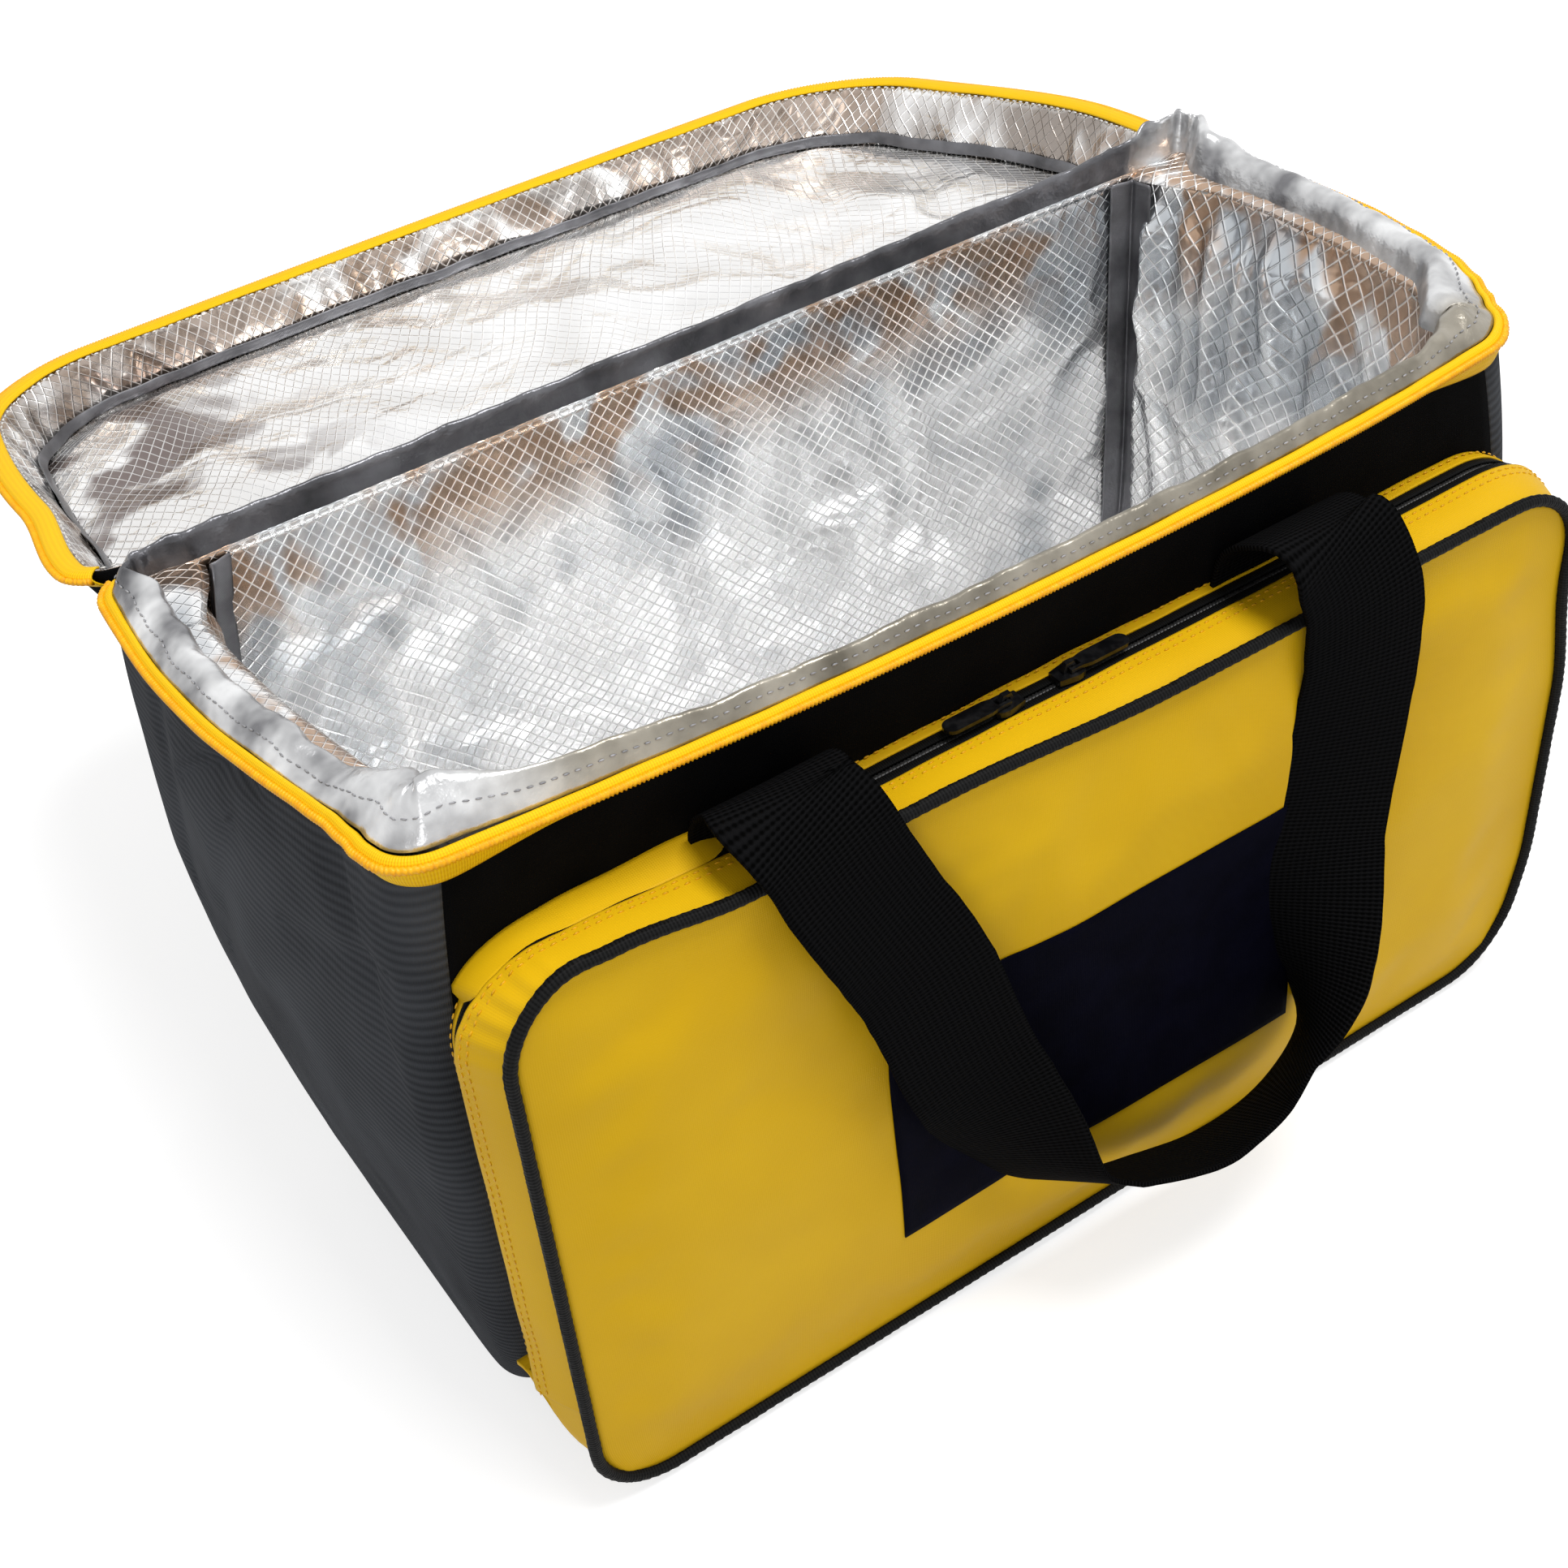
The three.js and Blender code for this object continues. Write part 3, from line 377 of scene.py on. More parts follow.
def outward_of(points, closed=False):
    """For each point of a line in plan, the direction to its right, which is away from the bag."""
    count = len(points)
    result = []
    for i in range(count):
        before = points[(i - 1) % count] if closed or i else points[0]
        after = points[(i + 1) % count] if closed or i < count - 1 else points[-1]
        ahead = (after - before).normalized()
        result.append(Vector((ahead.y, -ahead.x)))
    return result


def end_line(side, corner, start):
    """One end of the rim in plan, from y = start to the front, with its front corner rounded."""
    points = []
    for i in range(END_POINTS + 1):
        y = mix(start, -HALF_DEPTH, crowd(i / END_POINTS))
        x = skin_at(y, RIM_HEIGHT)
        into = max(corner - HALF_DEPTH - y, 0)
        if corner > EDGE_ROUND and into > 0:
            x = seam_at(y, RIM_HEIGHT) + EDGE_ROUND
            x -= corner - math.sqrt(max(corner**2 - into**2, 0))
        points.append(Vector((side * x, y)))
    return points


def round_the_front(corner, start):
    """From y = start at the left end, round the front, to the same place at the right end."""
    return end_line(-1, corner, start) + end_line(1, corner, start)[::-1]


def zip_line(corner):
    """The zip's line, which stops just short of the back corners."""
    return evenly(round_the_front(corner, HALF_DEPTH - 3), LINE_STEP)


def rim_line(corner, step):
    """The whole rim in plan, closed across the back."""
    return evenly(round_the_front(corner, HALF_DEPTH), step, closed=True)


def length_of(points):
    """Length of a line of points."""
    return sum((b - a).length for a, b in zip(points, points[1:]))


END_POINTS = 60
BODY_CORNER = EDGE_ROUND
LID_CORNER = 50
# How far apart the points of the zip's line and of the lid's rim are
LINE_STEP = 3
print("length of the zip:", round(length_of(zip_line(BODY_CORNER))), "mm")

# %% [markdown]
# ## Finishes
#
# Every finish is built from nodes. Weaves and ribs read the UV map, whose unit is a metre of
# cloth, and larger wear and shade reads object coordinates. `finish` starts a material and
# `put` adds one node to it, so that each finish below reads as a short list. Colours are
# written as red, green and blue, and sizes of a noise as how many patches fit in a metre.

# %% Helpers for finishes
def finish(name, **sockets):
    """A new material with a Principled shader, whose plain values are set on its own sockets."""
    made = bpy.data.materials.new(name)
    made.use_nodes = True
    shader = made.node_tree.nodes["Principled BSDF"]
    for socket, value in sockets.items():
        shader.inputs[socket.replace("_", " ")].default_value = value
    return made, shader


def put(made, kind, settings=None, **sockets):
    """Adds a node to a material and joins or sets its sockets."""
    tree = made.node_tree
    node = tree.nodes.new("ShaderNode" + kind)
    for key, value in (settings or {}).items():
        setattr(node, key, value)
    for socket, value in sockets.items():
        if socket.startswith("in"):
            target = node.inputs[int(socket[2:])]
        else:
            target = node.inputs[socket.replace("_", " ")]
        if isinstance(value, bpy.types.NodeSocket):
            tree.links.new(value, target)
        else:
            target.default_value = value
    return node


def threads_of(made, across, along, turn=0.0):
    """The UV map counted in threads, whose widths across and along are in millimetres."""
    uv = put(made, "UVMap", {"uv_map": "UVMap"})
    scale = (1 / (across * MM), 1 / (along * MM), 1)
    turned = put(made, "Mapping", Vector=uv.outputs["UV"], Rotation=(0, 0, turn), Scale=scale)
    return put(made, "SeparateXYZ", Vector=turned.outputs["Vector"]).outputs


def math_of(made, operation, *values):
    """One sum, product or other operation on sockets and numbers."""
    sockets = {f"in{i}": value for i, value in enumerate(values)}
    return put(made, "Math", {"operation": operation}, **sockets).outputs[0]


def sine_of(made, value):
    """A wave from 0 to 1 that repeats once for every whole number."""
    wave = math_of(made, "SINE", math_of(made, "MULTIPLY", value, 2 * math.pi))
    return put(made, "MapRange", Value=wave, From_Min=-1.0).outputs[0]


def weave_height(made, thread):
    """Height of a plain weave: threads of one width that cross over and under."""
    threads = threads_of(made, thread, thread)
    return math_of(made, "MULTIPLY", sine_of(made, threads["X"]), sine_of(made, threads["Y"]))


def object_noise(made, scale, detail=3.0, roughness=0.55, distortion=0.0):
    """Soft random patches over the whole piece; distortion draws them out into swirls."""
    place = put(made, "TexCoord").outputs["Object"]
    return put(made, "TexNoise", Vector=place, Scale=scale, Detail=detail, Roughness=roughness,
               Distortion=distortion).outputs["Fac"]


def object_axis(made, axis):
    """Where on the bag a point is along one axis, in metres."""
    place = put(made, "TexCoord").outputs["Object"]
    return put(made, "SeparateXYZ", Vector=place).outputs[axis]


def zone_of(made, values, full, none):
    """1 where a measure is past full, 0 where it is short of none, and soft between them."""
    return put(made, "MapRange", {"interpolation_type": "SMOOTHSTEP"}, Value=values,
               From_Min=none, From_Max=full).outputs[0]


def bump_of(made, height, depth, strength=1.0, under=None):
    """Turns a height from 0 to 1 into a bump of that depth in millimetres."""
    bump = put(made, "Bump", Strength=strength, Distance=depth * MM, Height=height)
    if under:
        made.node_tree.links.new(under, bump.inputs["Normal"])
    return bump.outputs["Normal"]


def two_tone(made, fac, dark, light, low=0.3, high=0.7):
    """A colour ramp between two tones."""
    ramp = put(made, "ValToRGB", Fac=fac)
    ramp.color_ramp.elements[0].position = low
    ramp.color_ramp.elements[0].color = (*dark, 1)
    ramp.color_ramp.elements[1].position = high
    ramp.color_ramp.elements[1].color = (*light, 1)
    return ramp.outputs["Color"]


def mixed_tones(made, share, under, over):
    """One colour, and another over it where the share is 1."""
    mixed = put(made, "Mix", {"data_type": "RGBA"}, Factor=share, in6=under, in7=over)
    return mixed.outputs[2]


def join(made, output, node, socket):
    """Joins an output to a node's named input."""
    made.node_tree.links.new(output, node.inputs[socket])


def dress(made, shader, color, bump):
    """Joins a finish's colour and its bump to its shader, and hands the material back."""
    join(made, color, shader, "Base Color")
    join(made, bump, shader, "Normal")
    return made


print("helpers for finishes are ready")

# %% [markdown]
# The black cloth of the body is a matt plain weave, about two threads to the millimetre.
# The two ends are cut from a charcoal cloth with fine level ribs, whose crowns are painted pale
# as a painted highlight. The yellow cloth of the pocket has a smooth coat over its weave, so it
# shines softly.
# Tape is woven with ribs straight across it.

# %% Cloth finishes
def make_black_cloth():
    """A matt plain weave, nearly black."""
    made, shader = finish("Black cloth", Roughness=0.95, Specular_IOR_Level=0.04)
    tone = two_tone(made, object_noise(made, 30.0), (0.0016, 0.0016, 0.0018), (0.0040, 0.0040, 0.0044))
    return dress(made, shader, tone, bump_of(made, weave_height(made, 0.9), 0.14, 0.8))


def make_ribbed_cloth():
    """Level ribs that wander a little, their crowns painted pale as a painted highlight, over a random tone.
    """
    made, shader = finish("Charcoal ribbed cloth", Roughness=0.9, Specular_IOR_Level=0.08)
    threads = threads_of(made, 1.3, 2.5)
    rib = sine_of(made, math_of(made, "MULTIPLY_ADD", object_noise(made, 9.0), 1.2, threads["Y"]))
    both = math_of(made, "MULTIPLY_ADD", sine_of(made, threads["X"]), 0.3, rib)
    # Painted highlight on the ribs' crowns, mixed with a random tone of the cloth
    worn = math_of(made, "MULTIPLY_ADD", rib, 0.26, object_noise(made, 14.0))
    tone = two_tone(made, worn, (0.022, 0.0235, 0.027), (0.082, 0.087, 0.097), 0.30, 1.05)
    return dress(made, shader, tone, bump_of(made, both, 0.34, 0.9))


def make_yellow_cloth():
    """A fine weave under a smooth coat, a little deeper in tone in some places."""
    made, shader = finish("Yellow coated cloth", Roughness=0.5, Specular_IOR_Level=0.12)
    tone = two_tone(made, object_noise(made, 9.0), (0.70, 0.405, 0.004), (0.82, 0.495, 0.006))
    grain = bump_of(made, object_noise(made, 900.0, 2.0), 0.05, 0.5)
    return dress(made, shader, tone, bump_of(made, weave_height(made, 0.8), 0.08, 0.7, grain))


def make_tape(name, dark, light, rib, shine=0.2):
    """Woven tape: ribs straight across it."""
    made, shader = finish(name, Roughness=0.6, Specular_IOR_Level=shine)
    threads = threads_of(made, 1.4, rib)
    both = math_of(made, "MULTIPLY_ADD", sine_of(made, threads["X"]), 0.4, sine_of(made, threads["Y"]))
    return dress(made, shader, two_tone(made, both, dark, light, 0.1, 1.1), bump_of(made, both, 0.15, 0.8))


black_cloth = make_black_cloth()
ribbed_cloth = make_ribbed_cloth()
yellow_cloth = make_yellow_cloth()
JET = (0.0015, 0.0015, 0.0015)
yellow_tape = make_tape("Golden zip tape", (0.86, 0.46, 0.0015), (1.0, 0.62, 0.003), 0.9)
black_tape = make_tape("Black zip tape", JET, (0.006, 0.006, 0.006), 0.9, 0.05)
piping_cover = make_tape("Black braided piping", JET, (0.010, 0.010, 0.010), 1.3, 0.08)
print("cloth finishes:", black_cloth.name, ribbed_cloth.name, yellow_cloth.name, yellow_tape.name)

# %% [markdown]
# Webbing is woven in bold ribs with a flat selvedge. The lining is a thin foil bonded to foam,
# embossed with small diamonds and crushed by use. Its colour holds painted light and shade. It
# mirrors whatever stands round the bag, and part of it is painted brown as a painted reflection
# where it is broken into facets. The bindings are satin tape: bright grey inside the bag, dull
# and painted darker as painted shade in the lid and along the back, and painted brownish along
# the front of the collar as a painted reflection.

# %% Webbing, foil, binding, foam, patch, metal and thread
def make_webbing():
    """Bold ribs across the strap, over cords that run along it."""
    made, shader = finish("Black webbing", Roughness=0.9, Specular_IOR_Level=0.02)
    threads = threads_of(made, 2.4, 1.7)
    both = math_of(made, "MULTIPLY_ADD", sine_of(made, threads["X"]), 0.5, sine_of(made, threads["Y"]))
    tone = two_tone(made, both, (0.0008, 0.0008, 0.0008), (0.0060, 0.0060, 0.0065), 0.2, 1.5)
    return dress(made, shader, tone, bump_of(made, both, 0.5, 1.0))


def diamond_grid(made, size, line=0.39):
    """1 on the pressed lines between diamonds of this size, in millimetres, and 0 inside them."""
    threads = threads_of(made, size, size, math.pi / 4)
    lines = []
    for axis in ("X", "Y"):
        middle = math_of(made, "SUBTRACT", math_of(made, "FRACT", threads[axis]), 0.5)
        lines.append(zone_of(made, math_of(made, "ABSOLUTE", middle), 0.5, line))
    return math_of(made, "MAXIMUM", *lines)


def make_foil(name, dark, warm, warm_axis, warm_range, warm_share):
    """Foil with pressed diamonds, with painted light, shade and reflection in its colour."""
    made, shader = finish(name, Metallic=0.9)
    grid = diamond_grid(made, 4.3)
    patches = object_noise(made, 8.0, 3.0, 0.5, 1.2)
    # Painted shade and light: crumple hollows are painted darker, the lowest part of the lining is
    # painted lighter, broad patches are painted bright or dark as reflections, and pressed lines are a
    # little lighter
    bend = put(made, "NewGeometry").outputs["Pointiness"]
    valley = put(made, "MapRange", Value=bend, From_Min=0.455, From_Max=0.53).outputs[0]
    shade = math_of(made, "MULTIPLY_ADD", grid, 0.06, patches)
    shade = math_of(made, "MULTIPLY_ADD", valley, 0.22, shade)
    low = put(made, "MapRange", Value=object_axis(made, "Z"), From_Min=0.24, From_Max=0.10, To_Max=0.12)
    shade = math_of(made, "ADD", shade, low.outputs[0])
    silver = two_tone(made, shade, dark, (1.0, 1.0, 1.0), 0.50, 0.70)
    # Painted reflection: a brown tone in place of what the foil would mirror, broken up by the
    # facets and kept off the pressed lines
    zone = zone_of(made, object_axis(made, warm_axis), warm_range[1], warm_range[0])
    reflection_noise = object_noise(made, 24.0, 2.0, 0.5, 0.8)
    reflection_breakup = zone_of(made, math_of(made, "MULTIPLY_ADD", reflection_noise, 0.9, patches), 0.98, 0.86)
    amount = math_of(made, "MULTIPLY", math_of(made, "MULTIPLY", zone, reflection_breakup), warm_share)
    painted_reflection = math_of(made, "MULTIPLY", amount, math_of(made, "MULTIPLY_ADD", grid, -0.7, 1.0))
    # Sharp folds come from where a swirled noise crosses its middle
    crushed = object_noise(made, 17.0, 2.4, 0.5, 1.6)
    folded = math_of(made, "ABSOLUTE", math_of(made, "SUBTRACT", crushed, 0.5))
    rough = math_of(made, "MULTIPLY_ADD", grid, 0.5, patches)
    join(made, put(made, "MapRange", Value=rough, To_Min=0.06, To_Max=0.34).outputs[0], shader, "Roughness")
    bump = bump_of(made, grid, 0.28, 0.9, bump_of(made, folded, 7.0, 0.5))
    return dress(made, shader, mixed_tones(made, painted_reflection, silver, (*warm, 1)), bump)


def make_grey_binding(name, dark, light, metal, roughness):
    """Satin tape with fine ribs and small wrinkles."""
    made, shader = finish(name, Metallic=metal, Roughness=roughness)
    tone = two_tone(made, object_noise(made, 40.0), dark, light)
    wrinkle = bump_of(made, object_noise(made, 130.0, 4.0), 0.9, 0.7)
    rib = sine_of(made, threads_of(made, 0.9, 0.7)["Y"])
    return dress(made, shader, tone, bump_of(made, rib, 0.08, 0.6, wrinkle))


def make_collar_binding():
    """The hem's tape: bright at the ends, painted brownish along the front as a painted reflection, and
    painted darker along the back as painted shade.
    """
    made, shader = finish("Collar binding", Metallic=0.7, Roughness=0.28)
    tone = object_noise(made, 40.0)
    x, y = object_axis(made, "X"), object_axis(made, "Y")
    front = math_of(made, "MULTIPLY", zone_of(made, y, -0.097, -0.082), zone_of(made, x, -0.165, -0.215))
    back = math_of(made, "MULTIPLY", zone_of(made, y, 0.098, 0.088), zone_of(made, x, 0.218, 0.234))
    color = two_tone(made, tone, (0.20, 0.20, 0.21), (0.86, 0.865, 0.87), 0.34, 0.66)
    # Over the tape's own tones: a painted brownish reflection along the front, and painted shade along the
    # back
    for share, dark, light in ((front, (0.15, 0.135, 0.105), (0.44, 0.405, 0.34)),
                               (back, (0.05, 0.05, 0.055), (0.20, 0.20, 0.215))):
        color = mixed_tones(made, share, color, two_tone(made, tone, dark, light))
    return dress(made, shader, color, bump_of(made, object_noise(made, 120.0, 4.0), 1.1, 0.8))


def make_foam():
    """Pale foam with small closed cells."""
    made, shader = finish("Closed cell foam", Roughness=0.9, Subsurface_Weight=0.1)
    place = put(made, "TexCoord").outputs["Object"]
    cells = put(made, "TexVoronoi", Vector=place, Scale=900.0).outputs["Distance"]
    tone = two_tone(made, object_noise(made, 25.0), (0.78, 0.78, 0.75), (0.88, 0.88, 0.86))
    return dress(made, shader, tone, bump_of(made, cells, 0.25, 0.6))


def make_navy_patch():
    """A close plain weave in dark navy."""
    made, shader = finish("Navy patch", Roughness=0.7, Specular_IOR_Level=0.02)
    tone = two_tone(made, object_noise(made, 60.0), (0.0012, 0.0012, 0.0036), (0.0024, 0.0024, 0.0075))
    return dress(made, shader, tone, bump_of(made, weave_height(made, 0.6), 0.08, 0.8))


def make_black_metal():
    """Painted metal, worn to a paler tone in small spots."""
    made, shader = finish("Black painted metal", Metallic=0.5, Roughness=0.3, Coat_Weight=0.3,
                          Coat_Roughness=0.2)
    wear = object_noise(made, 260.0, 5.0)
    tone = two_tone(made, wear, (0.006, 0.006, 0.007), (0.03, 0.03, 0.032), 0.45, 0.75)
    return dress(made, shader, tone, bump_of(made, object_noise(made, 700.0), 0.08, 0.4))


def make_thread(name, dark, light):
    """Smooth thread or moulded coil, slightly uneven in tone."""
    made, shader = finish(name, Roughness=0.42, Specular_IOR_Level=0.35)
    tone = two_tone(made, object_noise(made, 300.0), dark, light)
    return dress(made, shader, tone, bump_of(made, object_noise(made, 2500.0), 0.05, 0.4))


webbing = make_webbing()
# The bag's foil, with painted shade and light, and a painted brown reflection near the top of its walls
foil = make_foil("Embossed foil", (0.52, 0.55, 0.58), (0.40, 0.215, 0.09), "Z", (0.225, 0.268), 0.8)
grey_binding = make_grey_binding("Silver grey binding", (0.15, 0.15, 0.16), (0.72, 0.725, 0.73), 0.8, 0.25)
# The dull copy of the same satin tape, painted darker as painted shade
dull_shaded_binding = make_grey_binding("Dull grey binding", (0.055, 0.055, 0.06), (0.21, 0.21, 0.225), 0.5, 0.32)
collar_binding = make_collar_binding()
foam = make_foam()
navy_patch = make_navy_patch()
black_metal = make_black_metal()
orange_coil = make_thread("Orange zip coil", (0.92, 0.38, 0.002), (1.0, 0.52, 0.004))
black_coil = make_thread("Black zip coil", (0.006, 0.006, 0.006), (0.03, 0.03, 0.03))
yellow_thread = make_thread("Yellow thread", (0.66, 0.34, 0.004), (0.80, 0.44, 0.008))
grey_thread = make_thread("Grey thread", (0.20, 0.20, 0.21), (0.42, 0.42, 0.44))
white_thread = make_thread("White thread", (0.70, 0.70, 0.68), (0.88, 0.88, 0.86))
print("finishes ready:", len(bpy.data.materials))

# %% [markdown]
# ## Camera
#
# The picture was taken from above the front left corner, with a moderate lens, and it is
# turned a little about its own middle. The three directions of the camera are worked out
# from where it stands and what it looks at, and then turned by that roll.

# %% Camera
CAMERA_AT = Vector((-0.38888, -0.60332, 0.76970))
LOOKS_AT = Vector((-0.01706, 0.03539, 0.11293))
CAMERA_ROLL = math.radians(-5.67)
CAMERA_LENS = 53.64
SENSOR_WIDTH = 36


def add_camera():
    """The camera of the picture, turned about its own middle by the roll."""
    camera = add_object("camera", bpy.data.cameras.new("camera"))
    camera.data.lens = CAMERA_LENS
    camera.data.sensor_width = SENSOR_WIDTH
    camera.data.sensor_fit = "AUTO"
    camera.data.dof.use_dof = False
    back = (CAMERA_AT - LOOKS_AT).normalized()
    right = Vector((0, 0, 1)).cross(back).normalized()
    up = back.cross(right)
    cos, sin = math.cos(CAMERA_ROLL), math.sin(CAMERA_ROLL)
    turned_right = cos * right + sin * up
    turned_up = cos * up - sin * right
    turn = Matrix((turned_right, turned_up, back)).transposed()
    camera.matrix_world = Matrix.Translation(CAMERA_AT) @ turn.to_4x4()
    bpy.context.scene.camera = camera


add_camera()
print("camera stands", round((CAMERA_AT - LOOKS_AT).length, 3), "m away")

# %% [markdown]
# ## Floor, lamps and world
#
# A pale floor that keeps the bag's shadow, one large soft lamp high above, a weaker one from
# the front left, and an even world. The background looks white because floor and world show
# the camera a white of their own, and reflections are given the same white.

# %% Stage
FLOOR_HALF = 8
FLOOR_GREY = 0.58
# What the floor glows with for the camera alone, which brings it up to white
FLOOR_GLOW = 0.68
WORLD_LEVEL = 0.5
AIMS_AT = Vector((0, 0, 0.15))


def seen_directly(made):
    """1 for the rays of the camera and those that mirrors and glass send on, 0 for the rest."""
    path = put(made, "LightPath")
    seen = math_of(made, "MAXIMUM", path.outputs["Is Camera Ray"], path.outputs["Is Glossy Ray"])
    return math_of(made, "MAXIMUM", seen, path.outputs["Is Transmission Ray"])


def add_floor():
    """A wide pale floor under the bag."""
    form = bmesh.new()
    bmesh.ops.create_grid(form, x_segments=8, y_segments=8, size=FLOOR_HALF)
    data = bpy.data.meshes.new("floor")
    form.to_mesh(data)
    form.free()
    floor = add_object("floor", data)
    made, shader = finish("Pale floor", Roughness=0.9, Specular_IOR_Level=0.1,
                          Base_Color=(FLOOR_GREY, FLOOR_GREY, FLOOR_GREY, 1))
    glow = put(made, "Emission", Strength=FLOOR_GLOW)
    none = put(made, "Emission", Strength=0.0)
    extra = put(made, "MixShader", in0=seen_directly(made), in1=none.outputs[0], in2=glow.outputs[0])
    total = put(made, "AddShader", in0=shader.outputs[0], in1=extra.outputs[0])
    join(made, total.outputs[0], made.node_tree.nodes["Material Output"], "Surface")
    data.materials.append(made)


def add_lamp(name, where, size, power):
    """A round soft lamp that shines on the bag; its size is in metres and its power in watts."""
    lamp = add_object(name, bpy.data.lights.new(name, "AREA"))
    lamp.data.shape = "DISK"
    lamp.data.size = size
    lamp.data.energy = power
    lamp.location = where
    lamp.rotation_euler = (AIMS_AT - Vector(where)).to_track_quat("-Z", "Y").to_euler()


def add_world(level):
    """An even light from all round, which shows the camera plain white."""
    world = bpy.data.worlds.new("world")
    bpy.context.scene.world = world
    world.use_nodes = True
    nodes = world.node_tree.nodes
    plain = nodes["Background"]
    plain.inputs["Color"].default_value = (1, 1, 1, 1)
    plain.inputs["Strength"].default_value = level
    white = put(world, "Background", Color=(1, 1, 1, 1))
    chosen = put(world, "MixShader", in0=seen_directly(world), in1=plain.outputs[0], in2=white.outputs[0])
    join(world, chosen.outputs[0], nodes["World Output"], "Surface")


add_floor()
add_lamp("key lamp", (0.3, -0.45, 2.5), 1.1, 42)
add_lamp("fill lamp", (-1.6, -1.9, 1.4), 1.2, 8)
add_world(WORLD_LEVEL)
bpy.context.scene.view_settings.view_transform = "Standard"
print("stage ready")

# %% [markdown]
# ## The black body
#
# Front, base and back are one strip of black cloth that runs down the front, under the bag
# and up the back. It is drawn as a profile in the side view that is followed by its length.
# Small waves keep it from looking like sheet metal. They fade out at the seams, and press
# inwards only a little, because the foam lies just behind the cloth.

# %% Body strip
FRONT_RUN = RIM_HEIGHT - BASE_ROUND
ROUND_RUN = BASE_ROUND * math.pi / 2
FLAT_RUN = 2 * (HALF_DEPTH - BASE_ROUND)
BACK_RUN = rim_at(HALF_DEPTH) - BASE_ROUND
WRAP_RUN = FRONT_RUN + 2 * ROUND_RUN + FLAT_RUN + BACK_RUN


def wrap_at(run, inset):
    """Where the strip is in the side view after a run from the front rim, and which way is out."""
    radius = BASE_ROUND - inset
    if run < FRONT_RUN:
        return -HALF_DEPTH + inset, RIM_HEIGHT - run, (-1, 0)
    run -= FRONT_RUN
    if run < ROUND_RUN:
        turn = run / BASE_ROUND
        out = (-math.cos(turn), -math.sin(turn))
        return -(HALF_DEPTH - BASE_ROUND) + radius * out[0], BASE_ROUND + radius * out[1], out
    run -= ROUND_RUN
    if run < FLAT_RUN:
        return -(HALF_DEPTH - BASE_ROUND) + run, inset, (0, -1)
    run -= FLAT_RUN
    if run < ROUND_RUN:
        turn = run / BASE_ROUND
        out = (math.sin(turn), -math.cos(turn))
        return HALF_DEPTH - BASE_ROUND + radius * out[0], BASE_ROUND + radius * out[1], out
    return HALF_DEPTH - inset, BASE_ROUND + run - ROUND_RUN, (1, 0)


BAG_MIDDLE = (0, 0, 150)
# How far the cloth may press in on the foam
INWARD_MOST = 1.2


def body_strip_at(u, v):
    """Down the front, under the bag and up the back, with the cloth's small waves."""
    y, z, out = wrap_at(v * WRAP_RUN, 0)
    half = seam_at(y, z)
    x = (2 * u - 1) * half
    seam = smooth_step(0, 30, half - abs(x)) * smooth_step(0, 25, z)
    swell = seam * (1.6 * ripple(x, y, z, 70) + 0.8 * ripple(x, y, z, 26, 5))
    swell -= 2.2 * seam * crease(x, y, z * 1.6, 95, 31) * smooth_step(60, 110, z) * smooth_step(-30, 60, y)
    if swell < 0:
        swell = -INWARD_MOST * math.tanh(-swell / INWARD_MOST)
    return x, y + out[0] * swell, z + out[1] * max(swell, 0)


form = lay_cloth(110, 170, settled(body_strip_at), (2 * HALF_SEAM, WRAP_RUN), BAG_MIDDLE)
finish_piece("body_strip", form, black_cloth, "bag",
             ["front_panel", "base_panel", "back_panel"], thick=1.5)

# %% [markdown]
# ## The two ends
#
# The ends are cut from ribbed cloth and turn round the bag's upright edges, so they bulge and
# crease. The grid is laid over the rounded outline of the side view, crowded towards its
# edges where the cloth turns. A few long folds run slantwise down from the rim, each sharp on
# its upper side and soft below, and one deep pinch breaks the left end just under the zip.

# %% Ends
# side, y and z where it starts, y and z where it ends, width, depth
END_CREASES = (
    (-1, -25, 298, 49, 241, 9, 4.6), (-1, -22, 285, 44, 266, 6, 2.4), (-1, -90, 250, -30, 228, 13, 2.8),
    (-1, -70, 292, -96, 190, 12, 2.8), (-1, 60, 288, 84, 170, 16, 3.0), (-1, 10, 240, 60, 150, 18, 2.4),
    (1, -60, 292, -92, 180, 12, 3.2), (1, -15, 294, -50, 170, 15, 3.6), (1, 40, 290, 0, 180, 13, 3.4),
    (1, 88, 286, 50, 140, 14, 3.6), (1, 100, 250, 84, 90, 12, 2.6),
)


# The share of the end's height in which its rows of cloth stay level
LEVEL_PART = 0.3


def crease_depth(side, y, z):
    """How far the folds press the cloth in at a point of the side view."""
    total = 0
    for which, y0, z0, y1, z1, width, depth in END_CREASES:
        if which != side:
            continue
        run = Vector((y1 - y0, z1 - z0))
        share = min(max(Vector((y - y0, z - z0)).dot(run) / run.length_squared, 0), 1)
        off = Vector((y, z)) - Vector((y0, z0)).lerp(Vector((y1, z1)), share)
        above = off.cross(run) * (1 if run.x > 0 else -1) < 0
        reach = width * (0.45 if above else 1.25)
        total += depth * math.exp(-2 * (off.length / reach) ** 2) * (1 - 0.55 * share)
    return total


def side_view_point(u, v, inset=0, extra=0):
    """A point of the rounded side view, for rows that are level below and follow the rim above."""
    rise = 1 - math.cos(math.pi / 2 * v)
    level = inset + (RIM_HEIGHT - inset) * rise
    y = (2 * crowd(u) - 1) * half_depth_at(level, inset)
    return y, level + (rim_at(y) - RIM_HEIGHT + extra) * max(rise - LEVEL_PART, 0) / (1 - LEVEL_PART)


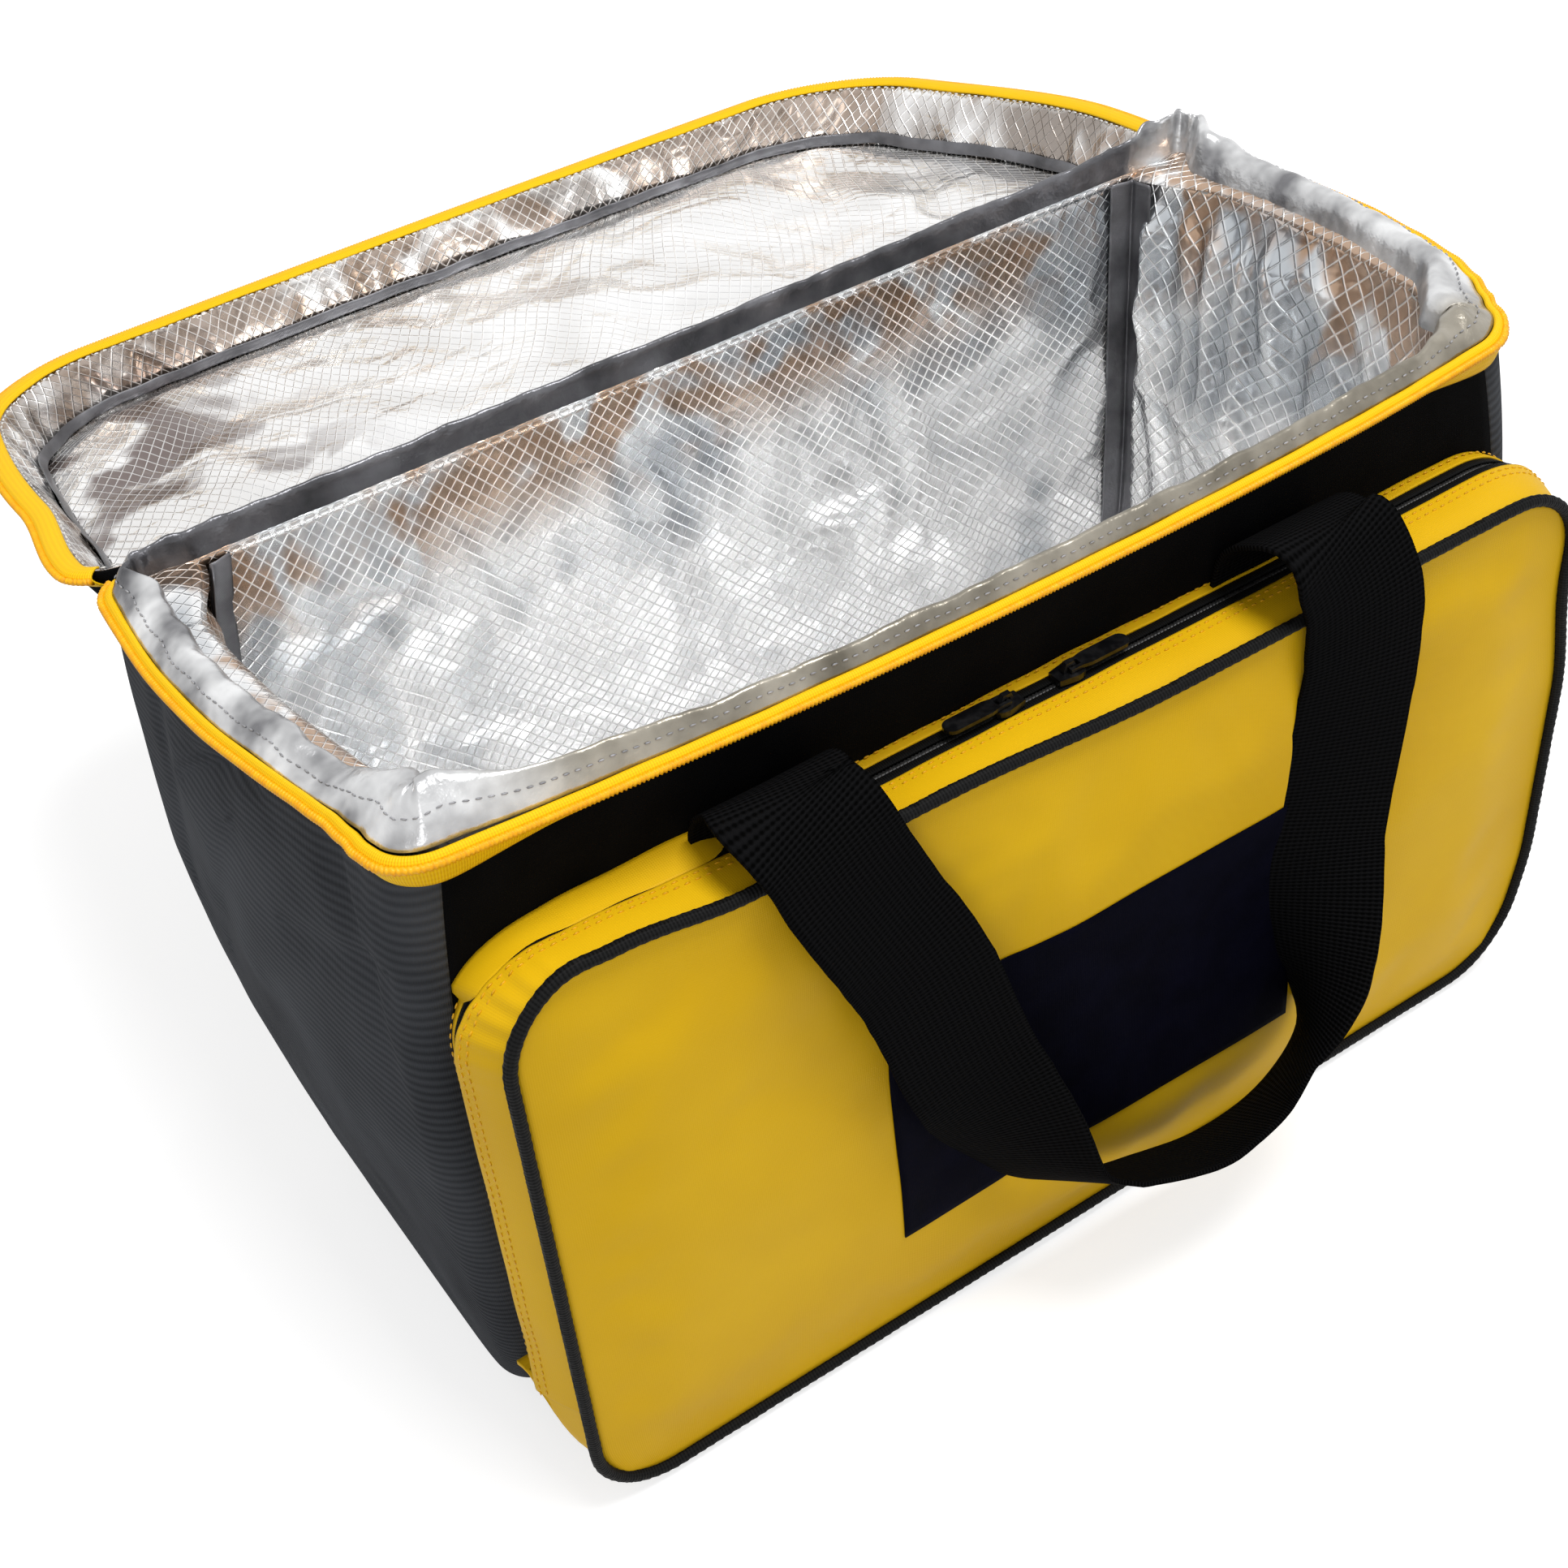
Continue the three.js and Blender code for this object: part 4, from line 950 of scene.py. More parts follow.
def end_cloth_at(side):
    """The outer cloth of one end: the skin, soft waves, and the folds pressed into it."""

    def place(u, v):
        y, z = side_view_point(u, v)
        free = smooth_step(0, 30, HALF_DEPTH - abs(y)) * smooth_step(5, 60, z)
        soft = free * (1.6 * ripple(y, z, side * 40, 60) + 0.8 * ripple(y, z, side * 9, 24))
        held = free * smooth_step(0, 7, rim_at(y) - z)
        return side * (skin_at(y, z) + soft - held * crease_depth(side, y, z)), y, z

    return place


for name, side in (("left_end", -1), ("right_end", 1)):
    form = lay_cloth(110, 120, settled(end_cloth_at(side)), (BAG_DEPTH, RIM_HEIGHT), BAG_MIDDLE)
    finish_piece(name + "_cloth", form, ribbed_cloth, "bag", [name + "_panel"], thick=1.5)

# %% [markdown]
# ## Foam
#
# Pads of foam fill the walls between cloth and foil. They are hidden, and keep the bag's walls
# upright. Each is a sheet that is given the foam's thickness.

# %% Foam pads
FOAM_INSET = 3.4
FOAM_THICK = 3.4
FOAM_TOP = 2
FOAM_HALF = HALF_SEAM - 5.6


def wall_foam_at(side):
    """The pad of the front wall, side -1, or of the back wall, side 1."""

    def place(u, v):
        y = side * (HALF_DEPTH - FOAM_INSET)
        z = mix(BASE_ROUND, rim_at(y) - FOAM_TOP, v)
        half = FOAM_HALF - lean_at(z)
        crown = 0.3 * ripple(u * 400, 0, z, 50, side)
        return (2 * u - 1) * half, y - side * abs(crown), z

    return place


def base_foam_at(u, v):
    """The pad under the floor, which turns up a little way at the front and the back."""
    run = mix(FRONT_RUN, WRAP_RUN - BACK_RUN, v)
    y, z, out = wrap_at(min(max(run, FRONT_RUN + 0.01), WRAP_RUN - BACK_RUN - 0.01), FOAM_INSET)
    return (2 * u - 1) * (FOAM_HALF - lean_at(z)), y, z


def end_sheet_at(side, half_at, inset, extra):
    """A sheet across one end, whose half width at a point of the side view is given."""

    def place(u, v):
        y, z = side_view_point(u, v, inset, extra)
        return side * half_at(y, z), y, z

    return place


def end_lining_half(y, z):
    """Half the width between the two end linings, which follow the ends' bulge towards the rim."""
    share = smooth_step(HALF_DEPTH - LINING_INSET, 60, abs(y))
    return LINING_HALF - lean_at(z) + 0.75 * belly_at(y, z) * share * smooth_step(60, 280, z)


for name, side in (("front_foam", -1), ("back_foam", 1)):
    form = lay_cloth(36, 24, settled(wall_foam_at(side)), (440, 230), BAG_MIDDLE)
    pad = finish_piece(name + "_pad", form, foam, "bag", [name], thick=FOAM_THICK)
form = lay_cloth(24, 40, base_foam_at, (440, 290), BAG_MIDDLE)
pad = finish_piece("base_foam_pad", form, foam, "bag", ["base_foam"], thick=FOAM_THICK)
for name, side in (("left_end_foam", -1), ("right_end_foam", 1)):
    reach = end_sheet_at(side, lambda y, z: end_lining_half(y, z) + FOAM_THICK + 0.3, FOAM_INSET, -FOAM_TOP)
    form = lay_cloth(24, 30, settled(reach), (218, 296), BAG_MIDDLE)
    pad = finish_piece(name + "_pad", form, foam, "bag", [name], thick=FOAM_THICK)

# %% [markdown]
# ## Foil lining
#
# The lining is one strip down the front, over the floor and up the back, and one sheet at
# each end. Foil keeps every fold it is given, so its creases are real geometry: a cloth
# simulation buckles a sheet that was cut too large, and sharp-backed noise adds the small
# crushed facets. The simulation is a helper, because the lid and the pocket use it too: the
# sheet's edges are pinned, its cloth grows, and no point may move past a cap.

# %% Cloth simulation helper
FRAMES = 14
CLOTH_QUALITY = 4
CLOTH_MASS = 0.15
CLOTH_BENDING = 0.4
CLOTH_STIFFNESS = 12
# How far a point may slide along the sheet, and how often what isn't pinned is smoothed
SIDEWAYS_MOST = 2
SOFTENING = 3
PINNED_FROM = 0.9


def crumple(piece, inward, cap, outward_cap, grow, pinned, push=0.0):
    """Lets a sheet buckle as cloth that was cut too large, and keeps the result in its mesh.

    Both caps are in millimetres, and grow is a share of the sheet's size.
    """
    rest = [v.co.copy() for v in piece.data.vertices]
    hold = piece.vertex_groups.new(name="held")
    for index, point in enumerate(rest):
        hold.add([index], pinned(point / MM), "REPLACE")
    wall = piece.modifiers.get("Thickness")
    if wall:
        wall.show_viewport = False
    cloth = piece.modifiers.new("Cloth", "CLOTH")
    piece.modifiers.move(len(piece.modifiers) - 1, 0)
    cloth.settings.vertex_group_mass = "held"
    cloth.settings.shrink_min = cloth.settings.shrink_max = -grow
    cloth.settings.quality = CLOTH_QUALITY
    cloth.settings.mass = CLOTH_MASS
    cloth.settings.bending_stiffness = CLOTH_BENDING
    cloth.settings.tension_stiffness = cloth.settings.compression_stiffness = CLOTH_STIFFNESS
    cloth.settings.effector_weights.gravity = 0
    cloth.collision_settings.use_collision = False
    if push:
        cloth.settings.use_pressure = True
        cloth.settings.uniform_pressure_force = push
    scene = bpy.context.scene
    for frame_number in range(1, FRAMES + 1):
        scene.frame_set(frame_number)
    shaped = piece.evaluated_get(bpy.context.evaluated_depsgraph_get()).data
    moved = []
    for vert, start in zip(shaped.vertices, rest):
        step = vert.co - start
        towards = Vector(inward(start / MM))
        along = step.dot(towards)
        kept = min(max(along, -outward_cap * MM), cap * MM)
        side = step - towards * along
        if side.length > SIDEWAYS_MOST * MM:
            side *= SIDEWAYS_MOST * MM / side.length
        moved.append(start + towards * kept + side)
    piece.modifiers.remove(cloth)
    piece.vertex_groups.remove(hold)
    if wall:
        wall.show_viewport = True
    scene.frame_set(1)
    for vert, place in zip(piece.data.vertices, moved):
        vert.co = place
    form = bmesh.new()
    form.from_mesh(piece.data)
    loose = [v for v in form.verts if pinned(rest[v.index] / MM) < PINNED_FROM]
    for _ in range(SOFTENING):
        bmesh.ops.smooth_vert(form, verts=loose, factor=0.5, use_axis_x=True, use_axis_y=True,
                              use_axis_z=True)
    form.to_mesh(piece.data)
    form.free()
    piece.data.update()
    furthest = max((a - b).length for a, b in zip(moved, rest)) / MM
    print(piece.name, "buckled by up to", round(furthest, 1), "mm")


print("the simulation runs over", FRAMES, "frames")

# %% [markdown]
# The crushed surface is the same noise on the strip and on both ends. The left end has upright
# folds near its top. The right end's folds fan out from the corner where the rim is bunched.

# %% Lining sheets
LINING_TOP = -1
# The least that a fold of foil stands off the wall
FOIL_OFF = 1.4


def foil_height(x, y, z, seed):
    """The crushed surface of foil, in millimetres."""
    broad = 2.2 * ripple(x, y, z, 60, seed) + 0.8 * ripple(x, y, z, 24, seed + 3)
    sharp = 2.8 * crease(x, y, z, 62, seed + 7) + 1.5 * crease(x, y * 0.5, z * 0.5, 26, seed + 11)
    return broad + sharp


def lining_strip_at(u, v):
    """Down the front wall, over the floor and up the back wall."""
    run = mix(-LINING_TOP, WRAP_RUN + LINING_TOP, v)
    y, z, out = wrap_at(run, LINING_INSET)
    half = LINING_HALF - 1.1 - lean_at(z)
    x = (2 * u - 1) * half
    held = smooth_step(0, 22, half - abs(x)) * smooth_step(0, 26, rim_at(y) + LINING_TOP - z)
    inward = held * max(foil_height(x, y, z, 1) + FOIL_OFF, 0.0)
    return x, y - out[0] * inward, z - out[1] * inward


def fan_folds(y, z):
    """Deep folds down the right end, which fan out from the bunched back corner of the rim."""
    down = max(rim_at(y) - z, 0)
    start = 92 - (92 - y) / (1 + down / 260)
    ridge = crease(start, 0, z * 0.16, 15, 14) ** 1.5 * 6.5 + crease(start, 0, z * 0.3, 34, 17) * 4
    return ridge * smooth_step(-90, 0, y) * smooth_step(60, 190, z) * smooth_step(0, 26, down)


def lining_end_at(side):
    """The foil of one end."""

    def half(y, z):
        held = smooth_step(0, 16, half_depth_at(z, LINING_INSET) - abs(y)) * smooth_step(8, 30, z)
        held *= smooth_step(0, 24, rim_at(y) + LINING_TOP - z)
        folds = 3.2 * crease(0, y, z * 0.25, 22, 9) * smooth_step(90, 240, z)
        if side > 0:
            folds = fan_folds(y, z)
        crushed = max(foil_height(side * 200, y, z, 4) + FOIL_OFF, 0)
        return end_lining_half(y, z) - held * (crushed + folds)

    return end_sheet_at(side, half, LINING_INSET, LINING_TOP)


def into_bag(point):
    """The direction from a point of the lining into the bag, away from the wall it lies on."""
    if abs(point.x) > LINING_HALF - 26 and abs(point.y) < HALF_DEPTH - 14:
        return (-math.copysign(1, point.x), 0, 0)
    if point.z < BASE_ROUND:
        away = Vector((0, -point.y, BASE_ROUND * 1.2 - point.z))
        return away.normalized() if abs(point.y) > HALF_DEPTH - BASE_ROUND else Vector((0, 0, 1))
    return (0, -math.copysign(1, point.y), 0)


def pinned_lining(point):
    """1 where the lining is sewn: at its side seams, in its bends and at the rim."""
    sewn = smooth_step(20, 5, LINING_HALF - lean_at(point.z) - abs(point.x))
    rim = smooth_step(24, 6, rim_at(point.y) - point.z)
    return max(sewn, rim)


def pinned_end(point):
    """1 where an end's foil is sewn: round its outline, at the rim and at the floor."""
    sewn = smooth_step(18, 4, half_depth_at(point.z, LINING_INSET) - abs(point.y))
    return max(sewn, smooth_step(24, 6, rim_at(point.y) - point.z), smooth_step(24, 8, point.z))


form = lay_cloth(120, 190, settled(lining_strip_at), (2 * LINING_HALF, WRAP_RUN), BAG_MIDDLE, inward=True)
lining_strip = finish_piece("lining_strip", form, foil, "bag",
                            ["front_lining", "floor_lining", "back_lining"], thick=0.5)
crumple(lining_strip, into_bag, 6, 0.6, 0.028, pinned_lining)
for name, side in (("left_end_lining", -1), ("right_end_lining", 1)):
    form = lay_cloth(90, 100, settled(lining_end_at(side)), (208, 290), BAG_MIDDLE, inward=True)
    end_lining = finish_piece(name + "_foil", form, foil, "bag", [name], thick=0.5)
    crumple(end_lining, into_bag, 5, 0.6, 0.024, pinned_end)

# %% [markdown]
# ## Collar
#
# Where the lining reaches the rim its edge is bound with satin tape. The bound edge stands up
# inside the zip as a soft hem: it rises from the zip's seam, rolls over and goes down on the
# inside to the lining. It is low along the left end and the front, taller at the front left
# corner and along the back, and bunches up where the back meets the right end. A row of
# stitches follows it. The foil's flange fills the space between the hem and the lining, widest
# at the ends.

# %% Collar and flange
COLLAR_STEP = 2.2
collar_line = rim_line(BODY_CORNER, COLLAR_STEP)
collar_outward = outward_of(collar_line, closed=True)
# Distance in from the zip's line and height as a share of the hem
COLLAR_SECTION = (
    (0.4, 0.10), (1.4, 0.32), (2.8, 0.58), (4.0, 0.80), (5.0, 0.94), (6.0, 1.0),
    (7.0, 0.97), (7.8, 0.84), (8.3, 0.6), (8.6, 0.3), (8.8, 0.0), (9.0, -0.25),
)
RIM_MIDDLE = (0, 0, 250)
around = len(collar_line)
collar_rows = len(COLLAR_SECTION) - 1


def corner_share(x, y):
    """How near a point of the rim is to one of its four corners, from 0 to 1."""
    away = math.hypot(HALF_SEAM - abs(x), HALF_DEPTH - 4 - abs(y))
    return smooth_step(46, 8, away)


def bunch_at(x, y):
    """How much the hem is bunched at a place: most where the back meets the right end."""
    return math.exp(-((x - 232) / 26) ** 2 - ((y - 92) / 24) ** 2)


def collar_height(x, y):
    """How high the hem stands above the zip's line, in millimetres."""
    front = smooth_step(-60, -104, y)
    back = smooth_step(70, 104, y)
    end = 7.5 if x < 0 else 10.5
    along_front = mix(8, 13, smooth_step(-120, -190, x))
    height = mix(mix(end, along_front, front), 11, back)
    # A peak at the front left corner, and a dip in the left end just behind it
    height += 4 * bump_at(x, -216, 15) * front
    height -= 4.5 * bump_at(y, -55, 14) * smooth_step(-150, -220, x)
    height += 11 * bunch_at(x, y)
    return height


def collar_shape(index, share):
    """Wrinkles of the hem: its shift outwards and its lift, for a share of its height."""
    point = collar_line[index]
    run = index * COLLAR_STEP
    bunch = bunch_at(point.x, point.y)
    corner = corner_share(point.x, point.y)
    at_end = smooth_step(100, 80, abs(point.y))
    pleat = (1.0 + 4.2 * bunch) * math.sin(run / 3.1 + 0.8 * ripple(run, 0, 0, 24, 3)) * max(corner, bunch)
    wrinkle = (0.9 + 1.9 * at_end) * ripple(run, 0, 3 * share, 15, 6) + 1.0 * ripple(run, 0, 5 * share, 7, 9)
    sway = 1.8 * ripple(run, 0, 0, 70, 2)
    return (pleat + wrinkle + sway) * share, 1.2 * ripple(run, 1, 0, 20, 4) + 0.8 * abs(pleat)


def collar_at(u, v):
    """The hem: along the rim with u, and over its rounded section with v."""
    index = round(u * around) % around
    outer, away = collar_line[index], collar_outward[index]
    inset, share = COLLAR_SECTION[round(v * collar_rows)]
    shift, lift = collar_shape(index, max(share, 0))
    wide = 1 + (0.9 if outer.x < 0 else 1.4) * smooth_step(104, 84, abs(outer.y))
    wide += 1.6 * corner_share(outer.x, outer.y) * (outer.y < 0)
    point = outer - away * (inset * wide - shift)
    return on_rim(point.x, point.y, share * (collar_height(outer.x, outer.y) + lift) + 1.0)


def flange_at(u, v):
    """The foil between the hem and the lining: along the rim with u, and inwards with v."""
    index = round(u * around) % around
    outer, away = collar_line[index], collar_outward[index]
    edge_y = HALF_DEPTH - LINING_INSET - 0.9
    inner_y = max(min(outer.y, edge_y), -edge_y)
    half = end_lining_half(inner_y, RIM_HEIGHT) - 1.6
    inner = Vector((max(min(outer.x, half), -half), inner_y))
    start = outer - away * 7.5
    if (inner - outer).dot(away) > -9:
        inner = outer - away * 9.5
    point = start.lerp(inner, v)
    broad = min((inner - start).length / 12, 1)
    crush = broad * (1.2 * ripple(point.x, point.y, 0, 16, 3) + 0.8 * crease(point.x, point.y, 0, 20, 5))
    tucked = 1.8 if v == 1 else 0
    return on_rim(point.x, point.y, mix(1.6, -0.4, v) + crush * math.sin(math.pi * v) - tucked)


form = lay_cloth(around, collar_rows, collar_at, (around * COLLAR_STEP, 30), RIM_MIDDLE, ring=True)
finish_piece("collar_tape", form, collar_binding, "bag", ["collar_binding"],
             thick=0.7, soft=1)
form = lay_cloth(around, 7, flange_at, (around * COLLAR_STEP, 20), RIM_MIDDLE, ring=True)
finish_piece("rim_foil", form, foil, "bag", ["lining_flange"], thick=0.4)


# %% [markdown]
# ## Stitches
#
# A seam is a row of short threads, each pressed into the cloth at its ends. One stitch is a
# small stretched ball with a few dozen faces, and a whole row of them is one mesh.

# %% Stitches
STITCH_LONG = 2.6
STITCH_WIDE = 0.84
STITCH_HIGH = 0.68
STITCH_GAP = 4.0
# The row of the hem's section that its seam runs along
SEAM_ROW = 2


def stitch_row(name, spots, finish, body):
    """Stitches at spots: each is a place, the way the seam runs, and the way out of the cloth."""
    form = bmesh.new()
    for place, ahead, out in spots:
        ahead = Vector(ahead).normalized()
        side = ahead.cross(Vector(out)).normalized()
        up = side.cross(ahead)
        shape = (ahead * STITCH_LONG / 2, side * STITCH_WIDE / 2, up * STITCH_HIGH / 2)
        matrix = Matrix.Translation(Vector(place)) @ Matrix(shape).transposed().to_4x4()
        bmesh.ops.create_icosphere(form, subdivisions=1, radius=1.0, matrix=matrix)
    bmesh.ops.scale(form, vec=(MM, MM, MM), verts=form.verts)
    bmesh.ops.recalc_face_normals(form, faces=form.faces)
    finish_piece(name, form, finish, body)


def spots_along(points, outs, lift):
    """Evenly spaced spots for stitches along a line of points, each with its way out."""
    spots, walked, due = [], 0.0, STITCH_GAP / 2
    for k in range(len(points) - 1):
        a, b = points[k], points[k + 1]
        step = (b - a).length
        while walked + step > due:
            share = (due - walked) / step
            out = Vector(outs[k]).lerp(Vector(outs[k + 1]), share).normalized()
            spots.append((a.lerp(b, share) + out * lift, b - a, out))
            due += STITCH_GAP
        walked += step
    return spots


def collar_seam():
    """Where the hem's seam runs on its outer face, with the way out of the cloth at each point."""
    points, outs = [], []
    for index in range(0, around + 1, 2):
        k = index % around
        outward = collar_outward[k]
        low = collar_at(k / around, SEAM_ROW / collar_rows)
        high = collar_at(k / around, (SEAM_ROW + 1) / collar_rows)
        out = (high - low).cross(Vector((-outward.y, outward.x, 0))).normalized()
        points.append(low)
        outs.append(-out if out.dot(Vector((*outward, 0.6))) < 0 else out)
    return points, outs


spots = spots_along(*collar_seam(), 0.25)
stitch_row("collar_stitches", spots, grey_thread, "bag")

# %% [markdown]
# ## Corner tapes
#
# A grey tape covers each upright seam of the lining. It is folded in the corner, one half on
# the long wall and one on the end, and it bows a little into the bag. The back ones are broad,
# dull and painted darker as painted shade, and the front ones narrower and brighter.

# %% Corner tapes
CORNER_TAPE_LOW = 102
# Half a tape's width, how far the tape stands off the lining, and how far its halves are apart
FRONT_TAPE_HALF = 9
BACK_TAPE_HALF = 13
TAPE_OFF = 1.6
TAPE_STEP = 1.4


def corner_tape_at(side_x, side_y, half):
    """One tape up its corner: across it with u, folded in the middle, and up the seam with v."""

    def place(u, v):
        edge_y = HALF_DEPTH - LINING_INSET - TAPE_OFF
        z = mix(CORNER_TAPE_LOW, rim_at(side_y * edge_y) - 1, v)
        along = half * abs(2 * u - 1)
        soft = 1.8 * ripple(side_x * 9, side_y * 5, z, 26) + 1.0 * ripple(side_x, 5, z, 9) + 2.6
        edge_x = LINING_HALF - TAPE_OFF - lean_at(z)
        bow = soft * (1 - abs(2 * u - 1))
        x = edge_x - (along if u < 0.5 else 0) - bow
        y = edge_y - (along if u > 0.5 else 0) - bow - (TAPE_STEP if u < 0.5 else 0)
        return side_x * x - (side_x * TAPE_STEP if u > 0.5 else 0), side_y * y, z

    return place


for end, side_x in (("left", -1), ("right", 1)):
    for wall, side_y, half, tone in (("front", -1, FRONT_TAPE_HALF, grey_binding),
                                     ("back", 1, BACK_TAPE_HALF, dull_shaded_binding)):
        form = lay_cloth(10, 56, settled(corner_tape_at(side_x, side_y, half)), (2 * half, 190),
                         (side_x * 300, side_y * 200, 200))
        finish_piece(f"{wall}_{end}_corner_tape", form, tone, "bag",
                     [f"corner_tape_{wall}_{end}"], thick=0.6, soft=1)

# %% [markdown]
# ## Main zip
#
# Body and lid each carry one half of the zip: a golden tape sewn along the rim, and a moulded
# coil on its edge. The body's tape is folded: it comes out over the rim, turns down under the
# coil and goes back to the cloth, so the coil lies along its crown. A coil is a wire wound in a
# spiral round two cords. Here it is a tube whose radius rises and falls with the winding, which
# reads as one tooth for every turn.

# %% Zip tapes and coils
TAPE_REACH = 3.6
COIL_RADIUS = 1.5
COIL_OUT = TAPE_REACH + COIL_RADIUS + 0.3
COIL_PITCH = 1.5
COIL_SIDES = 8
# A coil's tube has this many rings for each turn of its wire
COIL_RINGS = 4
# Distance out from the rim and height over it; the last column says how much the skirt deepens it
BODY_TAPE_SECTION = (
    (-1.4, 1.3, 0), (0.0, 2.2, 0), (1.6, 2.3, 0), (3.2, 1.5, 0), (4.2, 0.6, 0), (4.6, -0.6, 0.1),
    (4.2, -1.6, 0.3), (3.0, -2.4, 0.7), (1.4, -3.0, 1),
)
LID_TAPE_SECTION = (
    (-4.4, -0.4, 0), (-3.2, -1.7, 0), (-1.0, -2.2, 0), (1.4, -2.2, 0), (3.4, -1.7, 0), (4.6, -0.6, 0),
    (4.8, 0.8, 0.1), (4.0, 2.0, 0.3), (2.8, 3.2, 0.7), (1.2, 4.2, 1),
)


def skirt_at(point):
    """How much deeper the folded tape shows under the coil: more at the front corners."""
    corner = bump_at(abs(point.x), 222, 26) * smooth_step(-60, -108, point.y)
    return 1.4 + 5.0 * corner


def coil_bulge(index, turn, mean=1.0):
    """How a coil's radius rises and falls with its winding, at a ring and a way round the tube."""
    return mean + 0.2 * math.sin(index * math.pi / 2 + turn)


def zip_half(name, line, carry, section, coil_high, body):
    """One half of the main zip along a line in plan, on the body or on the lid."""
    outward = outward_of(line)
    rows = len(line) - 1
    length = length_of(line)
    way = -1 if section[-1][1] < 0 else 1

    def narrow_at(point):
        return 1 if body == "lid" else mix(0.75, 0.6, smooth_step(104, 70, abs(point.y)))

    def tape_at(u, v):
        index = round(v * rows)
        reach, high, deep = section[round(u * (len(section) - 1))]
        point = line[index] + outward[index] * reach * narrow_at(line[index])
        wave = 0.35 * ripple(index * LINE_STEP, reach, 0, 22, 8)
        return carry(point.x, point.y, high + wave + way * deep * skirt_at(line[index]))

    form = lay_cloth(len(section) - 1, rows, tape_at, (14, length), (0, 0, 700 * way))
    finish_piece(name + "_tape_cloth", form, yellow_tape, body, [name + "_tape"],
                 thick=0.7, soft=1)

    steps = round(length / COIL_PITCH * COIL_RINGS)
    fine = evenly(line, length / steps)
    fine_out = outward_of(fine)

    def coil_at(u, v):
        index = round(v * (len(fine) - 1))
        turn = 2 * math.pi * u
        radius = COIL_RADIUS * coil_bulge(index, turn, 0.88)
        out = COIL_OUT * narrow_at(fine[index]) + radius * math.cos(turn)
        point = fine[index] + fine_out[index] * out
        return carry(point.x, point.y, coil_high + radius * math.sin(turn))

    form = lay_cloth(COIL_SIDES, len(fine) - 1, coil_at, (9, length), tube=True)
    finish_piece(name + "_coil_teeth", form, orange_coil, body, [name + "_coil"])


zip_half("body_zip", zip_line(BODY_CORNER), on_rim, BODY_TAPE_SECTION, -0.2, "bag")
zip_half("lid_zip", zip_line(LID_CORNER), on_lid, LID_TAPE_SECTION, 0.2, "lid")

# %% [markdown]
# ## Lid
#
# The lid is a shallow tray of black cloth, lined with foil over foam. Its front corners are
# rounder than the body's. A grid across the plan makes the flat sheets, and a grid rolled
# round the rim makes the walls. The foil floor hangs in broad soft waves, so it mirrors the
# light in large patches, and its wall is crushed into small upright folds.

# %% Lid pieces
LID_INSET = 2.9
LID_FLOOR = 26
# The lid's walls start just below its rim
LID_WALL_LOW = -0.2
LID_SIZE = (BAG_WIDTH, BAG_DEPTH)
lid_rim = rim_line(LID_CORNER, LINE_STEP)
lid_outward = outward_of(lid_rim, closed=True)
# Two copies of the foil for the lid: its floor with painted light, its tones lifted near white, and dark
# brown painted reflections on its left; its wall with painted shade, darker and brown all over
lit_lid_foil = make_foil("Bright embossed foil", (0.84, 0.83, 0.82), (0.13, 0.085, 0.075), "X",
                        (-0.08, -0.17), 0.9)
shaded_lid_wall_foil = make_foil("Crushed foil", (0.34, 0.30, 0.27), (0.27, 0.17, 0.10), "Z", (0.1, 0.2), 0.75)


def lid_half_at(y, inset):
    """Half the lid's width in plan, in from its rim."""
    reach = HALF_DEPTH - inset
    y = max(min(y, reach), -reach)
    half = seam_at(y, RIM_HEIGHT) + EDGE_ROUND - inset
    front = max(LID_CORNER - inset, 1)
    into = max(front - reach - y, 0)
    back = max(EDGE_ROUND - inset, 1)
    behind = max(y - (reach - back), 0)
    half -= front - math.sqrt(max(front**2 - into**2, 0))
    return half - (back - math.sqrt(max(back**2 - behind**2, 0)))


def lid_sheet_at(inset, height_at):
    """A flat sheet across the lid, in from its rim, at a height that depends on the place."""

    def place(u, v):
        y = mix(-(HALF_DEPTH - inset), HALF_DEPTH - inset, crowd(v))
        x = (2 * u - 1) * lid_half_at(y, inset)
        return on_lid(x, y, height_at(x, y))

    return place


def lid_wall_at(offset_at, high):
    """A wall round the lid: along the rim with u, and up to a height with v."""

    def place(u, v):
        index = round(u * count) % count
        height = mix(LID_WALL_LOW, high, v)
        point = lid_rim[index] + lid_outward[index] * offset_at(index * LINE_STEP, v, height)
        return on_lid(point.x, point.y, height)

    return place


def lid_top_height(x, y):
    """The lid's outer face, crowned a little and softly uneven."""
    edge = smooth_step(0, 16, HALF_DEPTH - abs(y)) * smooth_step(0, 16, lid_half_at(y, 0) - abs(x))
    return LID_DEEP + 0.6 + 2.2 * edge + edge * 1.6 * ripple(x, y, 0, 80, 3)


def lid_foil_height(x, y):
    """The lid's foil floor: broad soft waves with a few shallow dents."""
    edge = smooth_step(0, 30, HALF_DEPTH - LID_INSET - abs(y))
    edge *= smooth_step(0, 30, lid_half_at(y, LID_INSET) - abs(x))
    broad = 3.6 * ripple(x, y * 1.4, 0, 95, 21) + 1.6 * ripple(x, y, 0, 42, 25)
    dents = 2.2 * crease(x, y * 0.8, 0, 120, 33) + 0.6 * crease(x, y, 0, 44, 35)
    return LID_FLOOR + 1.2 - edge * max(broad + dents + 3.4, 0)


def black_wall_offset(run, v, height):
    """How far the lid's black wall stands out of its rim line."""
    return 0.1 + 0.9 * math.sin(math.pi * v) * abs(ripple(run, 0, height, 60, 4))


